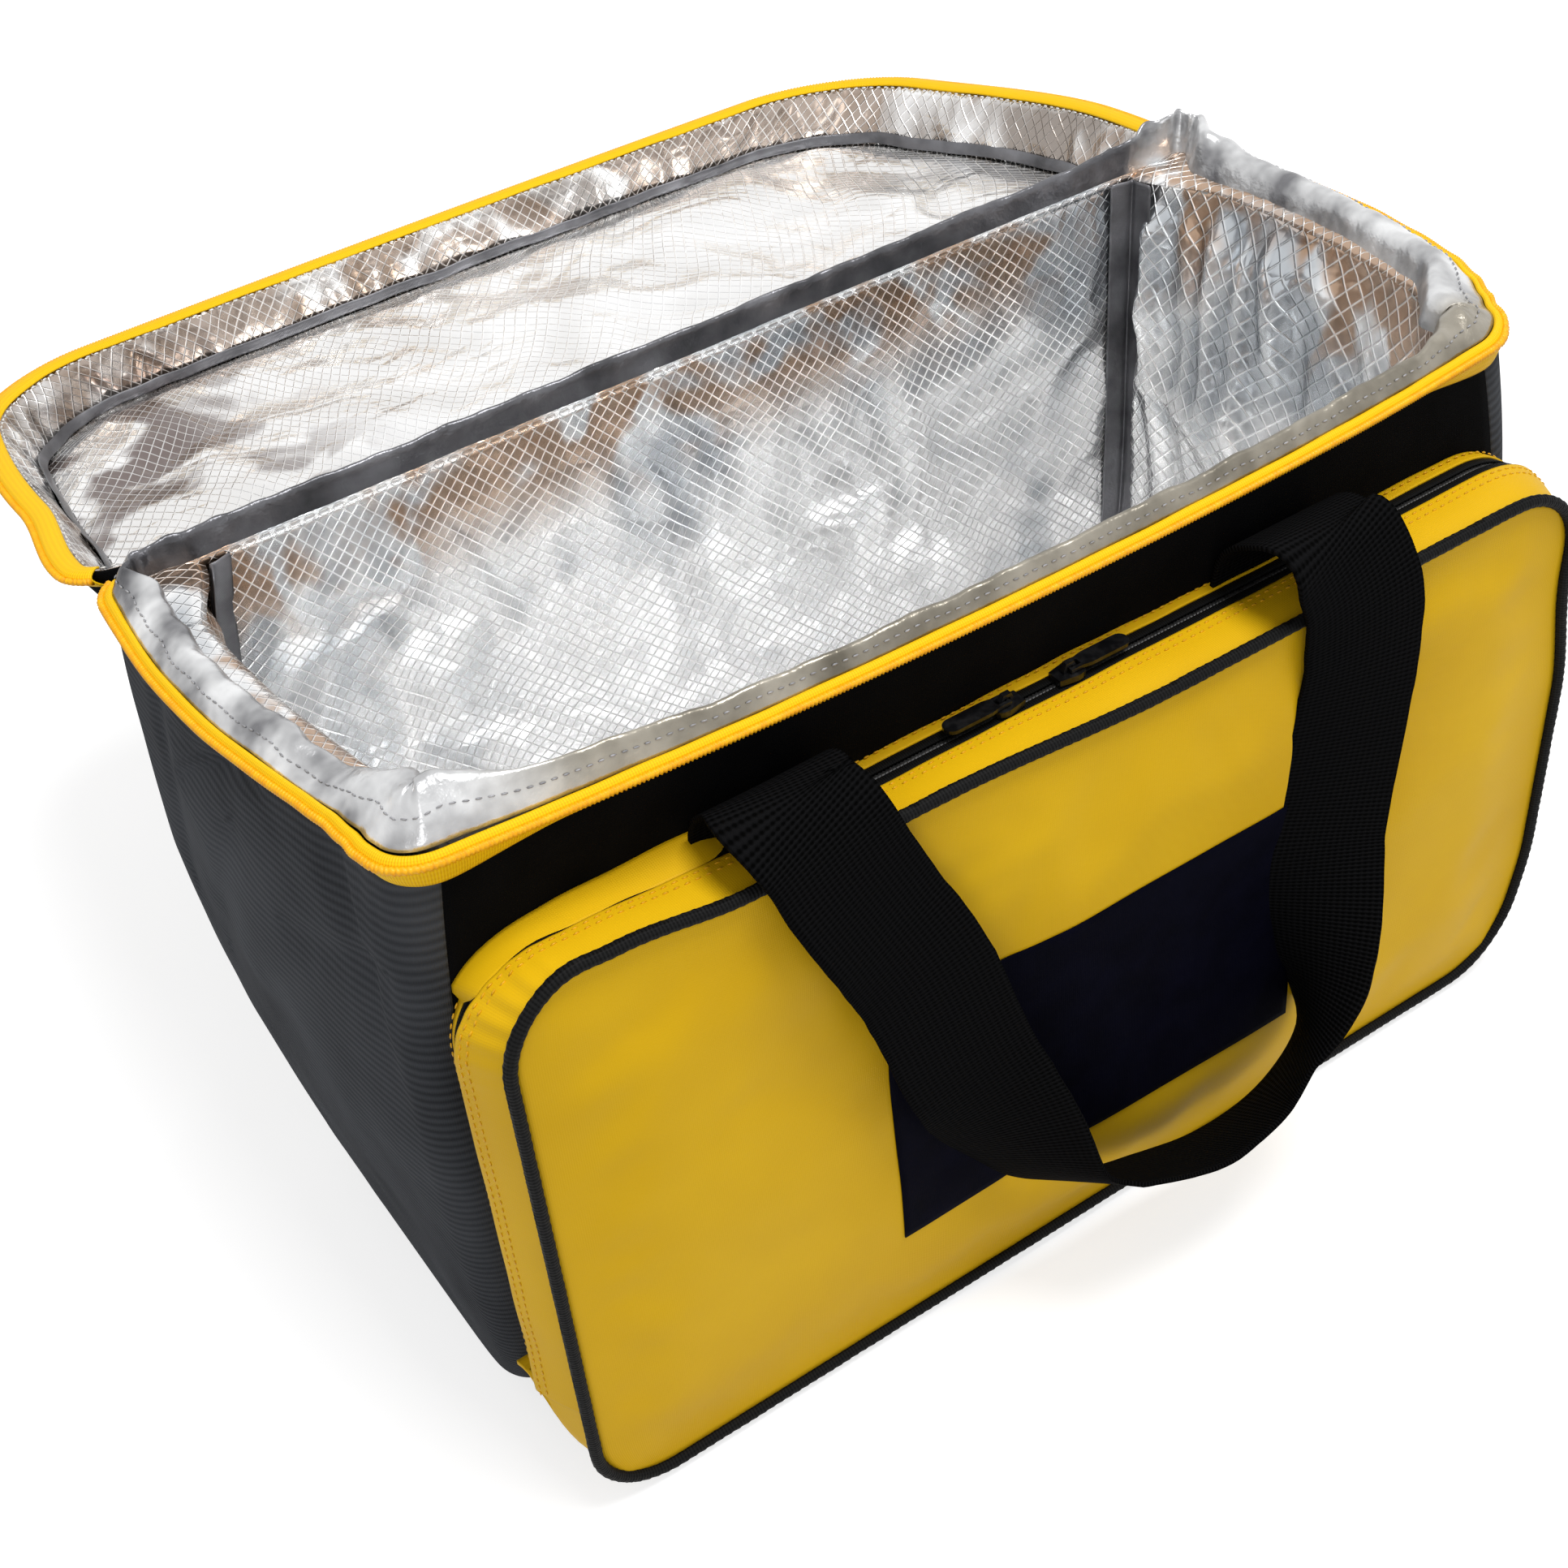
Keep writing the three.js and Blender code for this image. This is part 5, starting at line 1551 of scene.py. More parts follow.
def foil_wall_offset(run, v, height):
    """The same for its foil wall, which is crushed into small upright folds."""
    held = math.sin(math.pi * min(max(v, 0), 1)) ** 0.7
    upright = math.sin(run / 3.3 + 1.5 * ripple(run, 0, 0, 40, 6)) * ripple(run, 0, 0, 90, 7)
    crush = 2.6 * crease(run, height * 0.5, 0, 22, 3) + 1.8 * ripple(run, height * 0.4, 0, 20, 8)
    crush += 1.8 * upright
    return -2.2 - held * max(crush + 0.8, 0)


count = len(lid_rim)
form = lay_cloth(110, 60, lid_sheet_at(0, lid_top_height), LID_SIZE, on_lid(0, 0, 0))
finish_piece("lid_top_cloth", form, black_cloth, "lid", ["lid_top_panel"], thick=1.4)
form = lay_cloth(count, 8, lid_wall_at(black_wall_offset, LID_DEEP + 0.4), (count * LINE_STEP, LID_DEEP),
                 on_lid(0, 0, 15), ring=True)
finish_piece("lid_wall_cloth", form, black_cloth, "lid", ["lid_side_wall"], thick=1.4)
form = lay_cloth(50, 24, lid_sheet_at(LID_INSET, lambda x, y: LID_DEEP - 1.1), LID_SIZE, on_lid(0, 0, 0))
pad = finish_piece("lid_foam_pad", form, foam, "lid", ["lid_foam"], thick=4)
form = lay_cloth(160, 80, lid_sheet_at(LID_INSET, lid_foil_height), LID_SIZE, on_lid(0, 0, 40), inward=True)
lid_foil = finish_piece("lid_foil", form, lit_lid_foil, "lid", ["lid_lining"], thick=0.5)


def pinned_lid(point):
    """1 where the lid's foil floor is sewn, all round its edge."""
    back = (point.y - HINGE_Y) / LID_COS + HINGE_Y
    across = lid_half_at(back, LID_INSET) - LID_LEFT_PINCH - LID_LEAN * LID_FLOOR - abs(point.x)
    return max(smooth_step(20, 6, HALF_DEPTH - LID_INSET - abs(back)), smooth_step(22, 6, across))


lid_up = (on_lid(0, 0, 0) - on_lid(0, 0, 10)).normalized()
crumple(lid_foil, lambda point: lid_up, 4, 0.6, 0.012, pinned_lid)
form = lay_cloth(count, 14, lid_wall_at(foil_wall_offset, LID_FLOOR + 1), (count * LINE_STEP, LID_FLOOR),
                 on_lid(0, 0, 15), inward=True, ring=True)
finish_piece("lid_foil_wall", form, shaded_lid_wall_foil, "lid", ["lid_side_lining"], thick=0.4)

# %% [markdown]
# The seam between the lid's foil wall and its foil floor is bound with grey tape, folded over
# the two edges, so it stands up as a thin dull ridge, painted dark as painted shade, that wanders
# a little. A row of white stitches holds the foil to the zip's tape along the rim.

# %% Lid seam binding and rim stitches
def lid_ridge_at(u, v):
    """The folded tape as a thin tube that follows the floor's edge."""
    index = round(v * count) % count
    run = index * LINE_STEP
    turn = 2 * math.pi * u
    lean = 2.4 * ripple(run, 0, 0, 40, 12) + 0.8 * ripple(run, 0, 0, 13, 2)
    away = -5.2 + 0.9 * math.cos(turn) + lean * 0.6
    high = LID_FLOOR - 3.0 + 2.8 * math.sin(turn) + 1.0 * ripple(run, 9, 0, 18, 5)
    point = lid_rim[index] + lid_outward[index] * away
    return on_lid(point.x, point.y, high)


form = lay_cloth(8, count, lid_ridge_at, (18, count * LINE_STEP), tube=True)
finish_piece("lid_seam_tape", form, dull_shaded_binding, "lid", ["lid_lining_binding"], soft=1)
hem_points = [on_lid(*(p + o * -4.8), 0.4) for p, o in zip(lid_rim, lid_outward)]
hem_outs = [on_lid(*(p - o), 0) - on_lid(*p, 0) + lid_up * 0.4 for p, o in zip(lid_rim, lid_outward)]
spots = spots_along(hem_points, hem_outs, 0.3)
stitch_row("lid_rim_stitches", spots, white_thread, "lid")

# %% [markdown]
# ## Hinge
#
# One strip of black cloth joins the back of the body to the lid. It crosses the hinge, so it
# is one piece, laid over the hinge where the open lid holds it.

# %% Hinge strip
HINGE_HALF = HALF_SEAM - EDGE_ROUND
HINGE_LAP = 18
# The share of the strip that is sewn to each side, and how high the free part between stands
HINGE_SEWN = 0.45
HINGE_CROWN = 2.6


def hinge_at(u, v):
    """Up the back panel, over the hinge line, and down the lid's back wall."""
    x = (2 * u - 1) * HINGE_HALF
    body_y, body_z = HALF_DEPTH + 0.8, HINGE_Z - 3
    if v < HINGE_SEWN:
        share = v / HINGE_SEWN
        low_z = rim_at(HALF_DEPTH) - HINGE_LAP
        return x, body_y + 0.4 * ripple(x, 0, share * 20, 30), mix(low_z, body_z, share)
    lid_edge = on_lid(0, HALF_DEPTH + 0.9, 1.5)
    if v > 1 - HINGE_SEWN:
        lid_low = on_lid(0, HALF_DEPTH + 0.9, HINGE_LAP - 2)
        point = lid_edge.lerp(lid_low, (v - 1 + HINGE_SEWN) / HINGE_SEWN)
        return x, point.y, point.z
    turn = (v - HINGE_SEWN) / (1 - 2 * HINGE_SEWN)
    point = Vector((0, body_y, body_z)).lerp(lid_edge, turn)
    return x, point.y, point.z + HINGE_CROWN * math.sin(math.pi * turn)


form = lay_cloth(60, 40, hinge_at, (2 * HINGE_HALF, 42), (0, HALF_DEPTH + 3, 200))
hinge_strip = finish_piece("hinge_cloth", form, black_cloth, None,
                           ["hinge_strip_lower", "hinge_strip_upper"], thick=0.7)
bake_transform(hinge_strip)

# %% [markdown]
# ## Front pocket
#
# The pocket's face is one sheet of yellow cloth with rounded corners, edged with black piping.
# A square grid is pressed into the rounded shape, corner by corner, and a cloth simulation
# lets it belly out and wrinkle a little between its sewn edges, as the contents push it.

# %% Pocket face and piping
POCKET_WIDTH = 456
POCKET_TOP = RIM_HEIGHT - 45
POCKET_BOTTOM = 7
POCKET_DEPTH = 38
POCKET_CORNER = 30
TOP_SPREAD = 4
SIDE_SPREAD = 10
PIPING_RADIUS = 2.8
# The cord's radius where its cover has been pulled tight
PIPING_WORN = 2.4
POCKET_FACE = -HALF_DEPTH - POCKET_DEPTH
POCKET_MIDDLE = (POCKET_TOP + POCKET_BOTTOM) / 2
POCKET_HALF = (POCKET_TOP - POCKET_BOTTOM) / 2
# How far the pocket's top edge is pushed up at places along x, at the piping and at the zip
PIPING_RISE = ((-228, 15), (-207, 17), (-188, 15.5), (-139, 9), (-70, 8), (33, 2), (187, 2), (228, 0))
BAND_RISE = ((-228, 8), (-209, 9), (-192, 8), (-139, 5), (-95, 0.5), (90, 0.5), (228, 2))
# How far its contents push its right side out
RIGHT_BULGE = 8


def filled(x, z, band=0.0):
    """Moves a point of the pocket's front view as its contents push it; band is 1 at the zip."""
    high = smooth_step(120, 250, z)
    rise = mix(table_at(PIPING_RISE, x), table_at(BAND_RISE, x), band) * high
    bulge = RIGHT_BULGE * smooth_step(120, 226, x) * smooth_step(10, 70, z) * smooth_step(215, 150, z)
    return x + bulge, z + rise


def rounded_point(u, v, half_x, half_z, radius):
    """Presses a point of the unit square into a rectangle with rounded corners."""
    x, z = (2 * u - 1) * half_x, (2 * v - 1) * half_z
    over_x, over_z = abs(x) - (half_x - radius), abs(z) - (half_z - radius)
    if over_x > 0 and over_z > 0:
        a, b = over_x / radius, over_z / radius
        round_x = radius * a * math.sqrt(1 - b * b / 2)
        round_z = radius * b * math.sqrt(1 - a * a / 2)
        x = math.copysign(half_x - radius + round_x, x)
        z = math.copysign(half_z - radius + round_z, z)
    return x, z


def pocket_face_at(u, v):
    """The face, puffed out softly inside its piping, with one or two long creases."""
    x, z = rounded_point(u, v, POCKET_WIDTH / 2, POCKET_HALF, POCKET_CORNER)
    edge = min(POCKET_WIDTH / 2 - abs(x), POCKET_HALF - abs(z))
    free = smooth_step(0, 44, edge)
    puff = 2.2 * free + free * (2.4 * ripple(x, z, 0, 130, 2) + 0.8 * ripple(x, z, 0, 45, 4))
    puff += 1.4 * smooth_step(0, 18, edge) * crease(x, z * 0.7, 0, 150, 12)
    x, z = filled(x, POCKET_MIDDLE + z)
    return x, POCKET_FACE + 0.6 - puff, z


def pinned_face(point):
    """1 along the piping and in the corners, where the face is sewn."""
    in_x = POCKET_WIDTH / 2 - abs(point.x)
    in_z = POCKET_HALF - abs(point.z - POCKET_MIDDLE)
    return max(smooth_step(16, 4, min(in_x, in_z)), smooth_step(30, 14, math.hypot(in_x, in_z)))


form = lay_cloth(126, 70, pocket_face_at, (POCKET_WIDTH, 2 * POCKET_HALF), (0, 0, 130))
pocket_face = finish_piece("pocket_front_cloth", form, yellow_cloth, "bag",
                           ["pocket_face"], thick=1.2)
crumple(pocket_face, lambda point: (0, -1, 0), 2.2, 1.2, 0.004, pinned_face, push=0.4)


def pocket_outline(step):
    """The pocket's outline in the front view, anticlockwise from its lower right."""
    half_x = POCKET_WIDTH / 2 - POCKET_CORNER
    half_z = POCKET_HALF - POCKET_CORNER
    points = []
    for sign_x, sign_z, start in ((1, -1, 270), (1, 1, 0), (-1, 1, 90), (-1, -1, 180)):
        for k in range(13):
            angle = math.radians(start + 90 * k / 12)
            x, z = POCKET_CORNER * math.cos(angle), POCKET_CORNER * math.sin(angle)
            points.append((sign_x * half_x + x, sign_z * half_z + z))
    return evenly(points, step, closed=True)


PIPING_STEP = 1.3
piping_line = pocket_outline(PIPING_STEP)
piping_out = outward_of(piping_line, closed=True)


def piping_at(u, v):
    """The cord in its cover: round the tube with u, and along the face's edge with v."""
    index = round(v * len(piping_line)) % len(piping_line)
    turn = 2 * math.pi * u
    braid = 1 + 0.06 * math.sin(2 * turn + index * 2 * math.pi / 3) + 0.05 * ripple(index, u * 3, 0, 9, 4)
    point = piping_line[index] + piping_out[index] * (1.6 + PIPING_WORN * braid * math.cos(turn))
    depth = PIPING_WORN * braid * math.sin(turn)
    x, z = filled(point.x, POCKET_MIDDLE + point.y)
    return x, POCKET_FACE + depth, z


form = lay_cloth(12, len(piping_line), piping_at, (17, len(piping_line) * PIPING_STEP), tube=True)
finish_piece("pocket_piping_cord", form, piping_cover, "bag", ["pocket_piping"])

# %% [markdown]
# Behind the face, strips run round the pocket's top and sides: the front band, the two tapes
# and the coil of its zip, and the band that is sewn to the body. All are one kind of strip
# at different depths, so one function lays them. From the left handle to the left corner the
# rear band is wider and hangs over the zip as a flap. The front band is gathered into fine ribs
# where it turns the left corner.

# %% Pocket strips
GUSSET_TOP = 58
BAND_BACK = 14.9
STRIP_STEP = 2
upper_line = [p for p in pocket_outline(STRIP_STEP) if p.y + POCKET_MIDDLE > GUSSET_TOP]
split = max(range(len(upper_line)), key=lambda i: (upper_line[i] - upper_line[i - 1]).length)
upper_line = upper_line[split:] + upper_line[:split]
upper_out = outward_of(upper_line)


def strip_place(start, out, depth, lift):
    """A point beside the outline's point start, at a depth in front of the body, lifted off it."""
    side = out.x * out.x
    forward = 1 - depth / POCKET_DEPTH
    band = forward / (1 - BAND_BACK / POCKET_DEPTH)
    sunk = min(depth / BAND_BACK, 1)
    tucked = SIDE_SPREAD * min(band, 0.35 + 0.65 * depth / BAND_BACK)
    point = start + out * (mix(TOP_SPREAD * forward, tucked, side) + lift)
    flat = POCKET_MIDDLE + point.y
    x, z = filled(point.x, flat, min(band, 1))
    return mix(point.x, x, sunk), -HALF_DEPTH - depth, mix(flat, z, sunk)


def strip_point(index, depth, lift):
    """The same beside a numbered point of the pocket's upper outline."""
    return strip_place(upper_line[index], upper_out[index], depth, lift)


def strip_at(near, far, lift_at):
    """A strip of the pocket's side between two depths in front of the body, in millimetres."""

    def place(u, v):
        index = round(v * rows)
        return strip_point(index, mix(near, far, u), lift_at(index, u))

    return place


def cover_at(index):
    """1 where the rear band is wide enough to hang over the zip."""
    point = upper_line[index]
    return smooth_step(-126, -140, point.x) * smooth_step(241, 244, point.y + POCKET_MIDDLE)


def gather_at(index):
    """Fine ribs where the front band turns the left corner."""
    point = upper_line[index]
    near = math.exp(-((point.x + 219) / 17) ** 2 - ((point.y + POCKET_MIDDLE - 246) / 20) ** 2)
    return near * math.sin(index * STRIP_STEP / 1.15)


def front_band_lift(index, u):
    """How far the front band stands off the pocket's side: a soft crown, waves and the ribs."""
    middle = math.sin(math.pi * u)
    waves = 0.9 * middle + 0.6 * ripple(index * STRIP_STEP, u * 20, 0, 26)
    return waves + 0.75 * gather_at(index) * (0.4 + 0.6 * middle)


def rear_band_at(u, v):
    """The band sewn to the body: wide over the zip on the left, and narrow down the left side."""
    index = round(v * rows)
    run = index * STRIP_STEP
    point = upper_line[index]
    cover = cover_at(index)
    left = smooth_step(-224, -228, point.x) * smooth_step(240, 225, point.y + POCKET_MIDDLE)
    depth = mix(0.4, 5.8 + 9.5 * cover - 2.6 * left, u)
    hang = cover * (mix(5.0, -1.0, u) + 1.0 * ripple(run, u * 12, 0, 30, 3))
    return strip_point(index, depth, 0.5 + 0.6 * ripple(run, u * 5, 0, 20, 3) + hang)


def zip_tape_lift(index, u):
    """The zip's tapes lie a little below the bands."""
    return -0.3


BAND_FRONT = POCKET_DEPTH - PIPING_RADIUS + 1
rows = len(upper_line) - 1
strip_length = len(upper_line) * STRIP_STEP
inside_pocket = (0, -HALF_DEPTH - 15, 120)
# Piece, what it stands for, its place, how many columns it has, its width, finish, slot,
# thickness and rounds of smoothing
for piece, solid, place, columns, wide, cloth, slot, thick, soft in (
    ("pocket_front_band_cloth", "pocket_front_band", strip_at(BAND_BACK, BAND_FRONT, front_band_lift),
     12, 20, yellow_cloth, "yellow_cloth", 1.2, 1),
    ("pocket_zip_front_cloth", "pocket_zip_front_tape", strip_at(11.7, 14.9, zip_tape_lift),
     3, 3, black_tape, "black_tape", 0.9, 0),
    ("pocket_zip_rear_cloth", "pocket_zip_rear_tape", strip_at(5.4, 9.0, zip_tape_lift),
     3, 3, black_tape, "black_tape", 0.9, 0),
    ("pocket_rear_band_cloth", "pocket_rear_band", rear_band_at,
     8, 14, yellow_cloth, "yellow_cloth", 1.1, 0),
):
    form = lay_cloth(columns, rows, place, (wide, strip_length), inside_pocket)
    finish_piece(piece, form, cloth, "bag", [solid], thick=thick, soft=soft)

POCKET_COIL_DEPTH = 10.3
pocket_length = length_of(upper_line)
pocket_fine = evenly(upper_line, COIL_PITCH / COIL_RINGS)
pocket_fine_out = outward_of(pocket_fine)


def pocket_coil_at(u, v):
    """The pocket's coil, sunk between its tapes, and deeper down the sides."""
    index = round(v * (len(pocket_fine) - 1))
    turn = 2 * math.pi * u
    ridge = coil_bulge(index, turn)
    depth = POCKET_COIL_DEPTH + 1.3 * ridge * math.cos(turn)
    out = pocket_fine_out[index]
    lift = -1.6 - 2 * out.x * out.x + 0.9 * ridge * math.sin(turn)
    return strip_place(pocket_fine[index], out, depth, lift)


form = lay_cloth(6, len(pocket_fine) - 1, pocket_coil_at, (8, pocket_length), tube=True)
finish_piece("pocket_zip_teeth", form, black_coil, "bag", ["pocket_zip_coil"])

# %% [markdown]
# Two rows of yellow stitches hold the zip's tape to the front band, and one row runs along the
# rear band as far as its flap.

# %% Pocket stitches
def band_spots(depth, lift_at, keep=lambda index: True):
    """Spots for a row of stitches at a depth, along the stretches that are kept."""
    u = (depth - BAND_BACK) / (BAND_FRONT - BAND_BACK)
    points = [Vector(strip_point(k, depth, lift_at(k, u))) for k in range(rows + 1)]
    outs = [Vector((o.x, 0, o.y)) for o in upper_out]
    spots = []
    for kept, stretch in groupby(range(rows + 1), keep):
        run = list(stretch)
        if kept and len(run) > 3:
            spots += spots_along([points[k] for k in run], [outs[k] for k in run], 0.15)
    return spots


band_rows = band_spots(17.3, front_band_lift) + band_spots(20.6, front_band_lift)
band_rows += band_spots(2.6, lambda k, u: 1.0, lambda k: cover_at(k) < 0.05)
stitch_row("pocket_band_stitches", band_rows, yellow_thread, "bag")

# %% [markdown]
# Below the zip the pocket's side is one closed gusset of yellow cloth, which slants back up to
# where the bag's base turns under.

# %% Lower gusset
GUSSET_LAP = 5
GUSSET_STEP = 3


def gusset_line():
    """The pocket's lower outline, from one side, under it, to the other."""
    points = [p for p in pocket_outline(4) if p.y + POCKET_MIDDLE <= GUSSET_TOP]
    cut = max(range(len(points)), key=lambda i: (points[i] - points[i - 1]).length)
    points = points[cut:] + points[:cut]
    first = Vector((math.copysign(POCKET_WIDTH / 2, points[0].x), GUSSET_TOP - POCKET_MIDDLE))
    last = Vector((math.copysign(POCKET_WIDTH / 2, points[-1].x), GUSSET_TOP - POCKET_MIDDLE))
    return evenly([first, *points, last], GUSSET_STEP)


gusset = gusset_line()


def gusset_at(u, v):
    """Forwards from the body to the face's edge with u, and along the outline with v."""
    point = gusset[round(v * (len(gusset) - 1))]
    share = 1 - u
    depth = mix(0.4, BAND_FRONT, u)
    rise = (BASE_ROUND + GUSSET_LAP - POCKET_BOTTOM) * share
    z = min(max(point.y + POCKET_MIDDLE, POCKET_BOTTOM + rise), GUSSET_TOP)
    side = smooth_step(180, 226, abs(point.x))
    x = math.copysign(abs(point.x) + share * mix(TOP_SPREAD, SIDE_SPREAD, side), point.x)
    soft = 0.9 * ripple(x, depth, z, 25, 6) * math.sin(math.pi * u)
    return x, -HALF_DEPTH - depth, z + soft


form = lay_cloth(14, len(gusset) - 1, gusset_at, (45, len(gusset) * GUSSET_STEP), (0, -HALF_DEPTH - 15, 150))
finish_piece("pocket_gusset_cloth", form, yellow_cloth, "bag",
             ["pocket_lower_gusset"], thick=1.2)

# %% [markdown]
# ## Patch
#
# The patch on the pocket is plain navy cloth. It lies on the bellied face, so it takes its
# depth from that face: a ray from the front finds how far forwards the cloth stands.

# %% Patch
PATCH_WIDTH = 188
PATCH_HEIGHT = 117
PATCH_MIDDLE = 119
PATCH_OFF = 0.7
face_form = bmesh.new()
face_form.from_mesh(pocket_face.data)
face_tree = BVHTree.FromBMesh(face_form)
face_form.free()


def face_depth(x, z):
    """How far forwards the pocket's face is at a point of the front view."""
    hit = face_tree.ray_cast(Vector((x, POCKET_FACE - 60, z)) * MM, Vector((0, 1, 0)))[0]
    return hit.y / MM if hit else POCKET_FACE


def patch_at(u, v):
    """The patch, laid just off the face."""
    x = (u - 0.5) * PATCH_WIDTH
    z = PATCH_MIDDLE + (v - 0.5) * PATCH_HEIGHT
    return x, face_depth(x, z) - PATCH_OFF, z


form = lay_cloth(62, 40, patch_at, (PATCH_WIDTH, PATCH_HEIGHT), (0, 0, 130))
finish_piece("navy_patch", form, navy_patch, "bag", ["label_patch"], thick=0.5)

# %% [markdown]
# ## Handles
#
# Each handle is one length of webbing: sewn to the bag, folded over at the top, hanging as a
# free loop and back again. It is laid along a smooth curve through a few stops. Each stop
# also says which way the webbing's width points, so the loop can twist as the real one does.

# %% Webbing helper
WEBBING_WIDTH = 50
WEBBING_THICK = 1.8
HANDLE_HALF = 106
ROWS_PER_STOP = 8


def smooth_curve(stops):
    """A smooth line through stops (centripetal, so that close stops make no loops)."""
    points = [Vector(s) for s in stops]
    points = [points[0] * 2 - points[1], *points, points[-1] * 2 - points[-2]]
    result = []
    for p0, p1, p2, p3 in zip(points, points[1:], points[2:], points[3:]):
        t1 = max((p1 - p0).length, 1e-4) ** 0.5
        t2 = t1 + max((p2 - p1).length, 1e-4) ** 0.5
        t3 = t2 + max((p3 - p2).length, 1e-4) ** 0.5
        for k in range(ROWS_PER_STOP):
            t = mix(t1, t2, k / ROWS_PER_STOP)
            a1 = p0.lerp(p1, t / t1)
            a2 = p1.lerp(p2, (t - t1) / (t2 - t1))
            a3 = p2.lerp(p3, (t - t2) / (t3 - t2))
            b1 = a1.lerp(a2, t / t2)
            b2 = a2.lerp(a3, (t - t1) / (t3 - t1))
            result.append(b1.lerp(b2, (t - t1) / (t2 - t1)))
    result.append(points[-2])
    return result


def webbing_strap(name, stops, widths, replaced):
    """A strap along stops, with the way its width points at each stop.
    """
    line = smooth_curve(stops)
    turns = smooth_curve(widths)
    rows = len(line) - 1
    length = length_of(line)
    walked = [0.0]
    for a, b in zip(line, line[1:]):
        walked.append(walked[-1] + (b - a).length)

    def place(u, v):
        k = round(v * rows)
        ahead = (line[min(k + 1, rows)] - line[max(k - 1, 0)]).normalized()
        across = (turns[k] - ahead * turns[k].dot(ahead)).normalized()
        facing = ahead.cross(across)
        cup = 0.5 * math.cos(math.pi * (u - 0.5)) + 0.35 * ripple(walked[k], u * 40, 0, 30, 3)
        edge = 0.35 * ripple(walked[k], 0, 0, 9, 8) * (2 * u - 1)
        off = facing * (WEBBING_THICK / 2 - cup * 0.3)
        return line[k] + across * ((u - 0.5) * WEBBING_WIDTH + edge) + off

    form = lay_cloth(16, rows, place, (WEBBING_WIDTH, length), BAG_MIDDLE)
    uv = form.loops.layers.uv.active
    for face in form.faces:
        for loop in face.loops:
            k = round(loop[uv].uv.y / (length * MM) * rows)
            loop[uv].uv = (loop[uv].uv.x, walked[k] * MM)
    strap = finish_piece(name, form, webbing, None, replaced, thick=WEBBING_THICK)
    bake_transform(strap)


print("the webbing is", WEBBING_WIDTH, "mm wide")

# %% [markdown]
# The front handle leans to the right: its left leg slants and turns on edge, the bottom of the
# loop stands open towards the top so that its inner face shows, and the right leg twists back
# and hangs almost straight. The ends are sewn flat to the bag behind the pocket.

# %% Front handle
FRONT_FOLD = POCKET_TOP + 11.5
TAIL_OUT = 1.2
TAIL_LENGTH = 100
TAIL_WAY = Vector((1, 0, 0))
# y and z of a sewn tail, from its lower end over the fold
FRONT_TAIL = (
    (-HALF_DEPTH - TAIL_OUT, FRONT_FOLD - TAIL_LENGTH), (-HALF_DEPTH - TAIL_OUT, FRONT_FOLD - 55),
    (-HALF_DEPTH - TAIL_OUT - 2.4, FRONT_FOLD - 12), (-HALF_DEPTH - 8, FRONT_FOLD + 8),
    (-HALF_DEPTH - 18, FRONT_FOLD + 17.5),
)
# x, y, z of the middle of the webbing, then the way from its left edge to its right edge
FRONT_ROUTE = (
    (-119, -141, 286, 0.99, 0.10, 0.10),
    (-114, -152, 276, 0.99, 0.08, 0.11),
    (-108, -156.5, 258, 0.99, 0.07, 0.14),
    (-99, -158.5, 236, 0.98, 0.10, 0.16),
    (-85, -162, 202, 0.91, -0.10, 0.41),
    (-70, -167, 149, 0.97, -0.17, 0.15),
    (-55, -171, 111, 0.63, -0.54, 0.55),
    (-41, -175, 80, 0.07, -0.66, 0.75),
    (-24, -178, 66, -0.43, -0.51, 0.74),
    (2, -179, 53, -0.43, -0.63, 0.65),
    (36, -180, 45, -0.45, -0.67, 0.58),
    (66, -180, 51, -0.42, -0.69, 0.59),
    (83, -178, 68, -0.40, -0.64, 0.65),
    (91, -173, 90, -0.05, -0.77, 0.64),
    (93, -168, 110, 0.38, -0.85, 0.38),
    (95, -164, 132, 0.70, -0.65, 0.10),
    (98, -161, 155, 0.88, -0.43, -0.20),
    (104, -159, 178, 0.90, -0.30, -0.32),
    (110, -157.5, 206, 0.90, -0.22, -0.36),
    (114, -156.5, 238, 0.93, -0.14, -0.33),
    (111, -155, 266, 0.95, -0.10, -0.26),
    (104, -146, 287, 0.98, -0.05, -0.14),
)


def front_handle_stops():
    """Stops and widths of the front handle, from one sewn tail over the loop to the other."""
    left = [Vector((-117, y, z)) for y, z in FRONT_TAIL]
    right = [Vector((103, y, z)) for y, z in reversed(FRONT_TAIL)]
    loop = [Vector(stop[:3]) for stop in FRONT_ROUTE]
    widths = [TAIL_WAY] * len(left) + [Vector(stop[3:]) for stop in FRONT_ROUTE]
    return left + loop + right, widths + [TAIL_WAY] * len(right)


stops, widths = front_handle_stops()
webbing_strap(
    "front_handle_strap", stops, widths,
    ["front_handle_loop", "front_handle_tail_left", "front_handle_tail_right"],
)

# %% [markdown]
# The back handle is the same webbing on the back panel, under the open lid. Nothing is seen of
# it in the picture, so it hangs evenly.

# %% Back handle
BACK_REACH = 10.2
BACK_FOLD = RIM_HEIGHT - 62
# How high the strap arches over its fold, how far the loop sways out, and how far it hangs down
BACK_ARCH = 7
BACK_SWAY = 25
BACK_DROP = 202
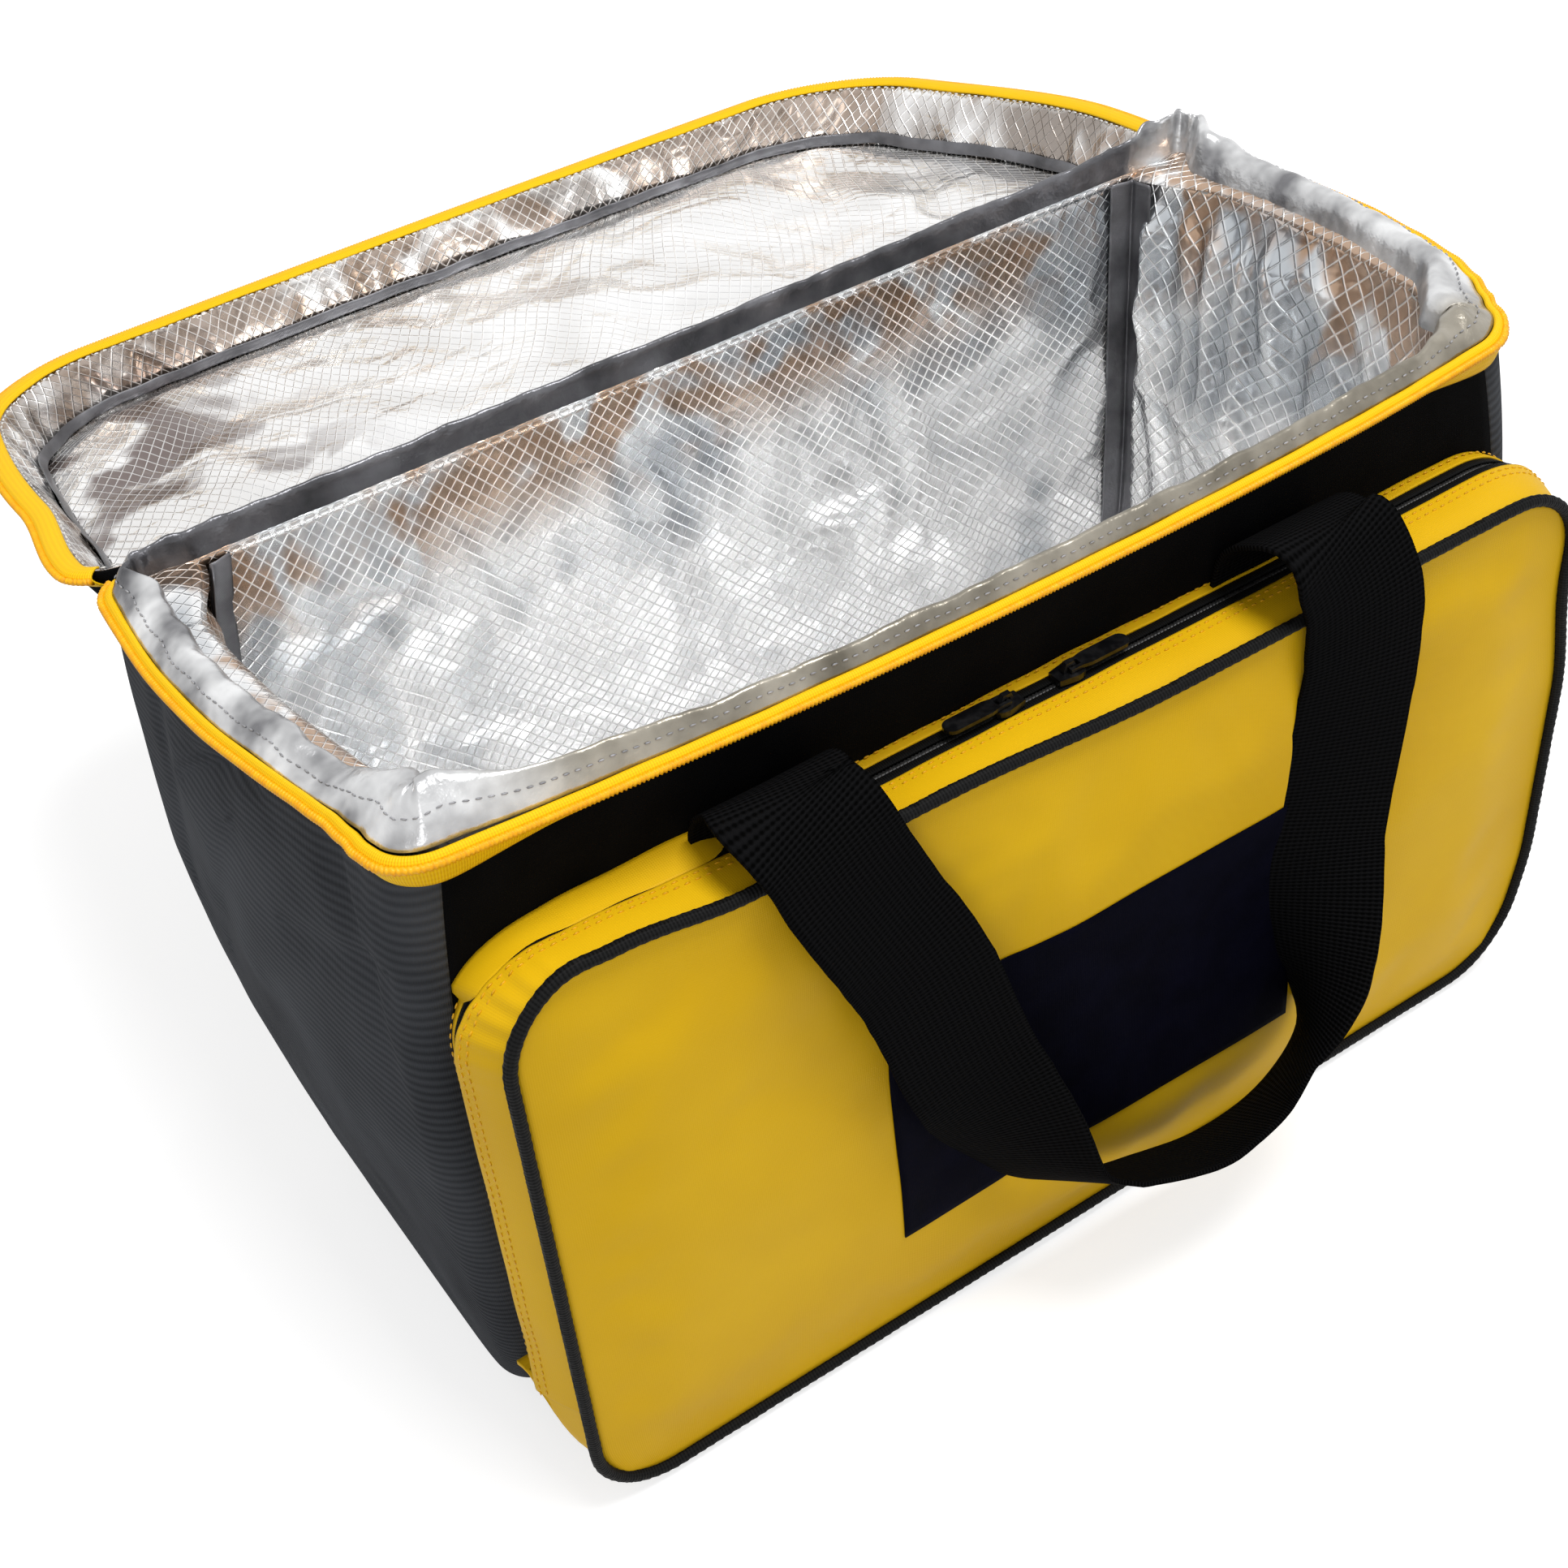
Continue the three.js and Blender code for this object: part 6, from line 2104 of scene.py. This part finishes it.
# x, out and down as shares of the loop's half width, sway and drop, then the webbing's way
BACK_HALF_ROUTE = (
    (-1, 0, 0.05, (1, 0, 0)),
    (-0.972, 0.16, 0.198, (1, 0, 0.1)),
    (-0.877, 0.4, 0.47, (1, 0.3, 0.2)),
    (-0.66, 0.72, 0.743, (1, 0.8, 0.2)),
    (-0.358, 0.92, 0.931, (0.4, 1, 0.1)),
)
back_other_half = tuple((-x, out, down, (-a, b, c)) for x, out, down, (a, b, c) in reversed(BACK_HALF_ROUTE))
BACK_ROUTE = (*BACK_HALF_ROUTE, (0, 1, 1, (0, 1, 0)), *back_other_half)


def back_handle_stops():
    """Stops and widths of the back handle, from one sewn tail over the loop to the other."""
    near = HALF_DEPTH + TAIL_OUT
    far = HALF_DEPTH + BACK_REACH
    tail = [(near, BACK_FOLD - low) for low in (TAIL_LENGTH, TAIL_LENGTH / 2, BACK_ARCH * 1.2)]
    tail += [(mix(near, far, share), BACK_FOLD + BACK_ARCH * rise)
             for share, rise in ((0.12, -0.1), (0.4, 0.55), (0.72, 0.6), (0.95, 0.1))]
    left = [Vector((-HANDLE_HALF, y, z)) for y, z in tail]
    right = [Vector((HANDLE_HALF, y, z)) for y, z in reversed(tail)]
    loop = [Vector((x * HANDLE_HALF, far + out * BACK_SWAY, BACK_FOLD - down * BACK_DROP))
            for x, out, down, _ in BACK_ROUTE]
    widths = [TAIL_WAY] * len(tail) + [Vector(way) for *_, way in BACK_ROUTE]
    return left + loop + right, widths + [Vector(BACK_ROUTE[-1][3])] * len(tail)


stops, widths = back_handle_stops()
webbing_strap(
    "back_handle_strap", stops, widths,
    ["back_handle_loop", "back_handle_tail_left", "back_handle_tail_right"],
)

# %% [markdown]
# ## Metal
#
# The sliders and their pulls keep the shapes of their solids, which already have the crown
# and the eye. They get the metal finish.

# %% Sliders and pulls
for name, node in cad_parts.items():
    if name.endswith(("_slider", "_pull")):
        node.data.materials.clear()
        node.data.materials.append(black_metal)
        print(name, "is painted metal")
